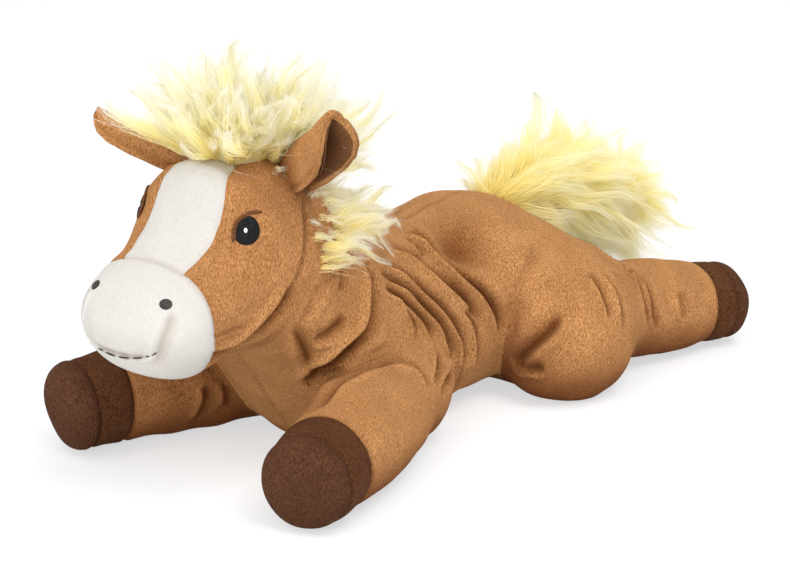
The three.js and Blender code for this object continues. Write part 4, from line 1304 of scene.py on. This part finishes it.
EYE_YAW, EYE_LIFT, EYE_TILT = (math.radians(angle) for angle in (48, 27, 24))
EYE_HALVES = (6.0, 6.7)
GLINT_HALVES = (1.0, 1.3)
NOSTRIL_HALVES = (2.7, 2.7)
GLINT_SHIFT = np.array([-0.02, 0, -0.01])
NOSTRIL_AIM = np.array([19.8, -11.3, 12.8])
PATCH_RINGS, PATCH_SIDES = 14, 40


def dress_face(tree):
    muzzle_centre = CRANIUM + HEAD_AXIS * MUZZLE_REACH * 0.7
    out, ahead = math.sin(EYE_YAW) * math.cos(EYE_LIFT), -math.cos(EYE_YAW) * math.cos(EYE_LIFT)
    for side, sign in SIDES.items():
        eye = np.array([out * sign, ahead, math.sin(EYE_LIFT)])
        glint = eye + GLINT_SHIFT * (sign, 1, 1)
        hole = unit(NOSTRIL_AIM * (sign, 1, 1))
        for name, node, origin, aim, halves, tilt, material, rise in (
            ("eye_patch", "eye", CRANIUM, eye, EYE_HALVES, -EYE_TILT * sign, BLACK, 0.9),
            ("eye_glint", "eye_highlight", CRANIUM, glint, GLINT_HALVES, 0, WHITE, 1.5),
            ("nostril_patch", "nostril", muzzle_centre, hole, NOSTRIL_HALVES, 0, DARK_THREAD, 0.8),
        ):
            oval = patch(tree, origin, aim, *halves, tilt, rise)
            add_piece(f"{side}_{name}", oval, material, "head", [f"{side}_{node}"])


def patch(tree, origin, direction, half_width, half_height, tilt, rise):
    """A stitched oval that lies on the head, domed by its thread."""
    direction = unit(direction)
    right = unit(np.cross(UP, direction))
    up = np.cross(direction, right)
    radius = np.linspace(1, 0.05, PATCH_RINGS)
    angle = 2 * np.pi * np.arange(PATCH_SIDES) / PATCH_SIDES
    rings = np.zeros((PATCH_RINGS, PATCH_SIDES, 3))
    reach = np.linalg.norm(on_head(tree, direction, origin) - origin)
    for i, r in enumerate(radius):
        for j, a in enumerate(angle):
            x, y = r * half_width * math.cos(a), r * half_height * math.sin(a)
            x, y = x * math.cos(tilt) - y * math.sin(tilt), x * math.sin(tilt) + y * math.cos(tilt)
            aim = unit(direction * reach + right * x + up * y)
            hit = on_head(tree, aim, origin)
            rings[i, j] = hit + aim * (rise * (1 - r**4) + 0.05)
    points, tris = grid(rings, rings[0].mean(0), rings[-1].mean(0))
    tris = tris[~(tris == len(points) - 2).any(1)]
    points, tris = tidy(points, tris)
    if normals(points, tris).mean(0) @ direction < 0:
        tris = tris[:, ::-1]
    return points, tris


THREAD_SIDES = 8
THREAD_LIFT = 0.6


def thread(line, radius, outward):
    """A round thread with full ends along a line, a little proud of it."""
    tangent = unit(np.gradient(line, axis=0))
    side = unit(np.cross(tangent, outward))
    up = np.cross(side, tangent)
    share = np.linspace(-1, 1, len(line))
    size = radius * np.sqrt(np.clip(1 - share**8, 0.03, 1))
    angle = (2 * np.pi * np.arange(THREAD_SIDES) / THREAD_SIDES)[None, :, None]
    ring = np.cos(angle) * side[:, None] + np.sin(angle) * up[:, None]
    middle = line + up * radius * THREAD_LIFT
    rings = middle[:, None] + ring * size[:, None, None]
    return grid(rings, middle[0], middle[-1])


def threads(name, lines, radius, material, nodes=(), sign=1):
    """Several stitches in one piece."""
    middle = CRANIUM + HEAD_AXIS * 30
    stitches = merged([thread(line, radius, unit(line - middle)) for line in lines])
    add_piece(name, on_side(*stitches, sign), material, "head", nodes)


MOUTH_DASHES = [
    [(98, 347.5), (104, 351)],
    [(105, 351.5), (111, 354.3), (116, 356)],
    [(118, 356.4), (124, 357.4), (130, 357.8)],
    [(132, 357.8), (138, 357.8), (143, 357.2)],
    [(145, 356.8), (151, 355.4), (157, 352.6)],
]
LASH = [(234, 241), (233.5, 233), (235.5, 225.5), (240, 219), (247.5, 215), (255, 213), (261, 214)]
JAW_DASHES = [[(218, 336.5), (222, 335.4)], [(226, 334.4), (230, 333.2)], [(234, 331.6), (238, 330)],
              [(242, 328.6), (246, 327)]]
LASH_MIDDLE = CRANIUM + np.array([30, -27, 22.0])
LASH_BANDS = (-1.1, -0.5, 0.1, 0.7)
MOUTH_THREAD, LASH_THREAD, JAW_THREAD = 0.36, 0.55, 0.3


def dress_stitches(tree):
    mouth = [cast(tree, dash) for dash in MOUTH_DASHES]
    threads("mouth_stitches", mouth, MOUTH_THREAD, DARK_THREAD, ["mouth_thread"])
    lash = cast(tree, LASH)
    bands = [lash + unit(LASH_MIDDLE - lash) * inward for inward in LASH_BANDS]
    jaw = [cast(tree, dash) for dash in JAW_DASHES]
    for side, sign in SIDES.items():
        threads(f"{side}_lash_stitches", bands, LASH_THREAD, BROWN_THREAD, [f"{side}_eye_lash"], sign)
        threads(f"{side}_jaw_stitches", jaw, JAW_THREAD, BROWN_THREAD, (), sign)


# Stage, light and camera


FLOOR_SIZE = 12
FLOOR_GLOW = 0.6
WORLD_LIGHT = 0.6


def math_of(nodes, operation, first, second):
    return add_node(nodes, "Math", {0: first, 1: second}, operation=operation).outputs[0]


def seen_ray(nodes, share):
    """This share where a camera, glossy or transmitted ray meets the floor or the world, and 0 elsewhere."""
    path = nodes.new("ShaderNodeLightPath")
    seen = path.outputs["Is Camera Ray"]
    for ray in ("Is Glossy Ray", "Is Transmission Ray"):
        seen = math_of(nodes, "MAXIMUM", seen, path.outputs[ray])
    return math_of(nodes, "MULTIPLY", seen, share)


def dress_stage():
    bpy.ops.mesh.primitive_plane_add(size=FLOOR_SIZE, location=(0, 0, 0))
    floor = bpy.context.object
    floor.name = "floor"
    material, nodes, shader = new_material("floor_white")
    set_inputs(shader, {"Base Color": (0.9, 0.9, 0.9, 1), "Roughness": 0.9})
    glow = add_node(nodes, "Emission", {"Color": (1, 1, 1, 1), "Strength": 1.0})
    mix_out(nodes, seen_ray(nodes, FLOOR_GLOW), shader, glow)
    floor.data.materials.append(material)


def dress_world():
    world = bpy.data.worlds.new("studio")
    bpy.context.scene.world = world
    world.use_nodes = True
    nodes = world.node_tree.nodes
    light = set_inputs(nodes["Background"], {"Color": (1, 1, 1, 1), "Strength": WORLD_LIGHT})
    seen = add_node(nodes, "Background", {"Color": (1, 1, 1, 1), "Strength": 1.0})
    mix_out(nodes, seen_ray(nodes, 1), light, seen, "World Output")


# Each lamp's name, place, aim, size and energy
LAMPS = [
    ("key", (0.8, -0.1, 1.4), (0, 0, 0.08), 0.8, 15),
    ("top", (-0.1, -0.7, 1.7), (0, 0, 0.08), 1.4, 12),
    ("front", (0.4, -1.5, 0.45), (0, 0, 0.07), 1.2, 15),
    ("back", (-0.8, 1.2, 0.9), (0, 0, 0.08), 1.0, 4),
]


def add_aimed(name, data, at, way):
    """A lamp or camera that looks a given way."""
    thing = bpy.data.objects.new(name, data)
    thing.location = Vector(at)
    thing.rotation_mode = "QUATERNION"
    thing.rotation_quaternion = Vector(way).to_track_quat("-Z", "Y")
    bpy.context.scene.collection.objects.link(thing)
    return thing


def dress_lamps():
    for name, at, aim, size, energy in LAMPS:
        light = bpy.data.lights.new(name, "AREA")
        light.energy = energy
        light.size = size
        add_aimed(name, light, at, Vector(aim) - Vector(at))


def dress_camera():
    data = bpy.data.cameras.new("camera")
    data.sensor_width = SENSOR
    data.lens = CAMERA_FOCAL * SENSOR / PHOTO_WIDTH
    data.clip_start, data.clip_end = 0.05, 30
    bpy.context.scene.camera = add_aimed("camera", data, CAMERA_AT * MM, -camera_axes()[2])


head_tree = dress_bodies()
for side, sign in SIDES.items():
    dress_ear(side, sign)
dress_face(head_tree)
dress_stitches(head_tree)
dress_forelock()
dress_neck_mane()
dress_tail()
dress_stage()
dress_world()
dress_lamps()
dress_camera()
scene = bpy.context.scene
scene.view_settings.view_transform = "Standard"
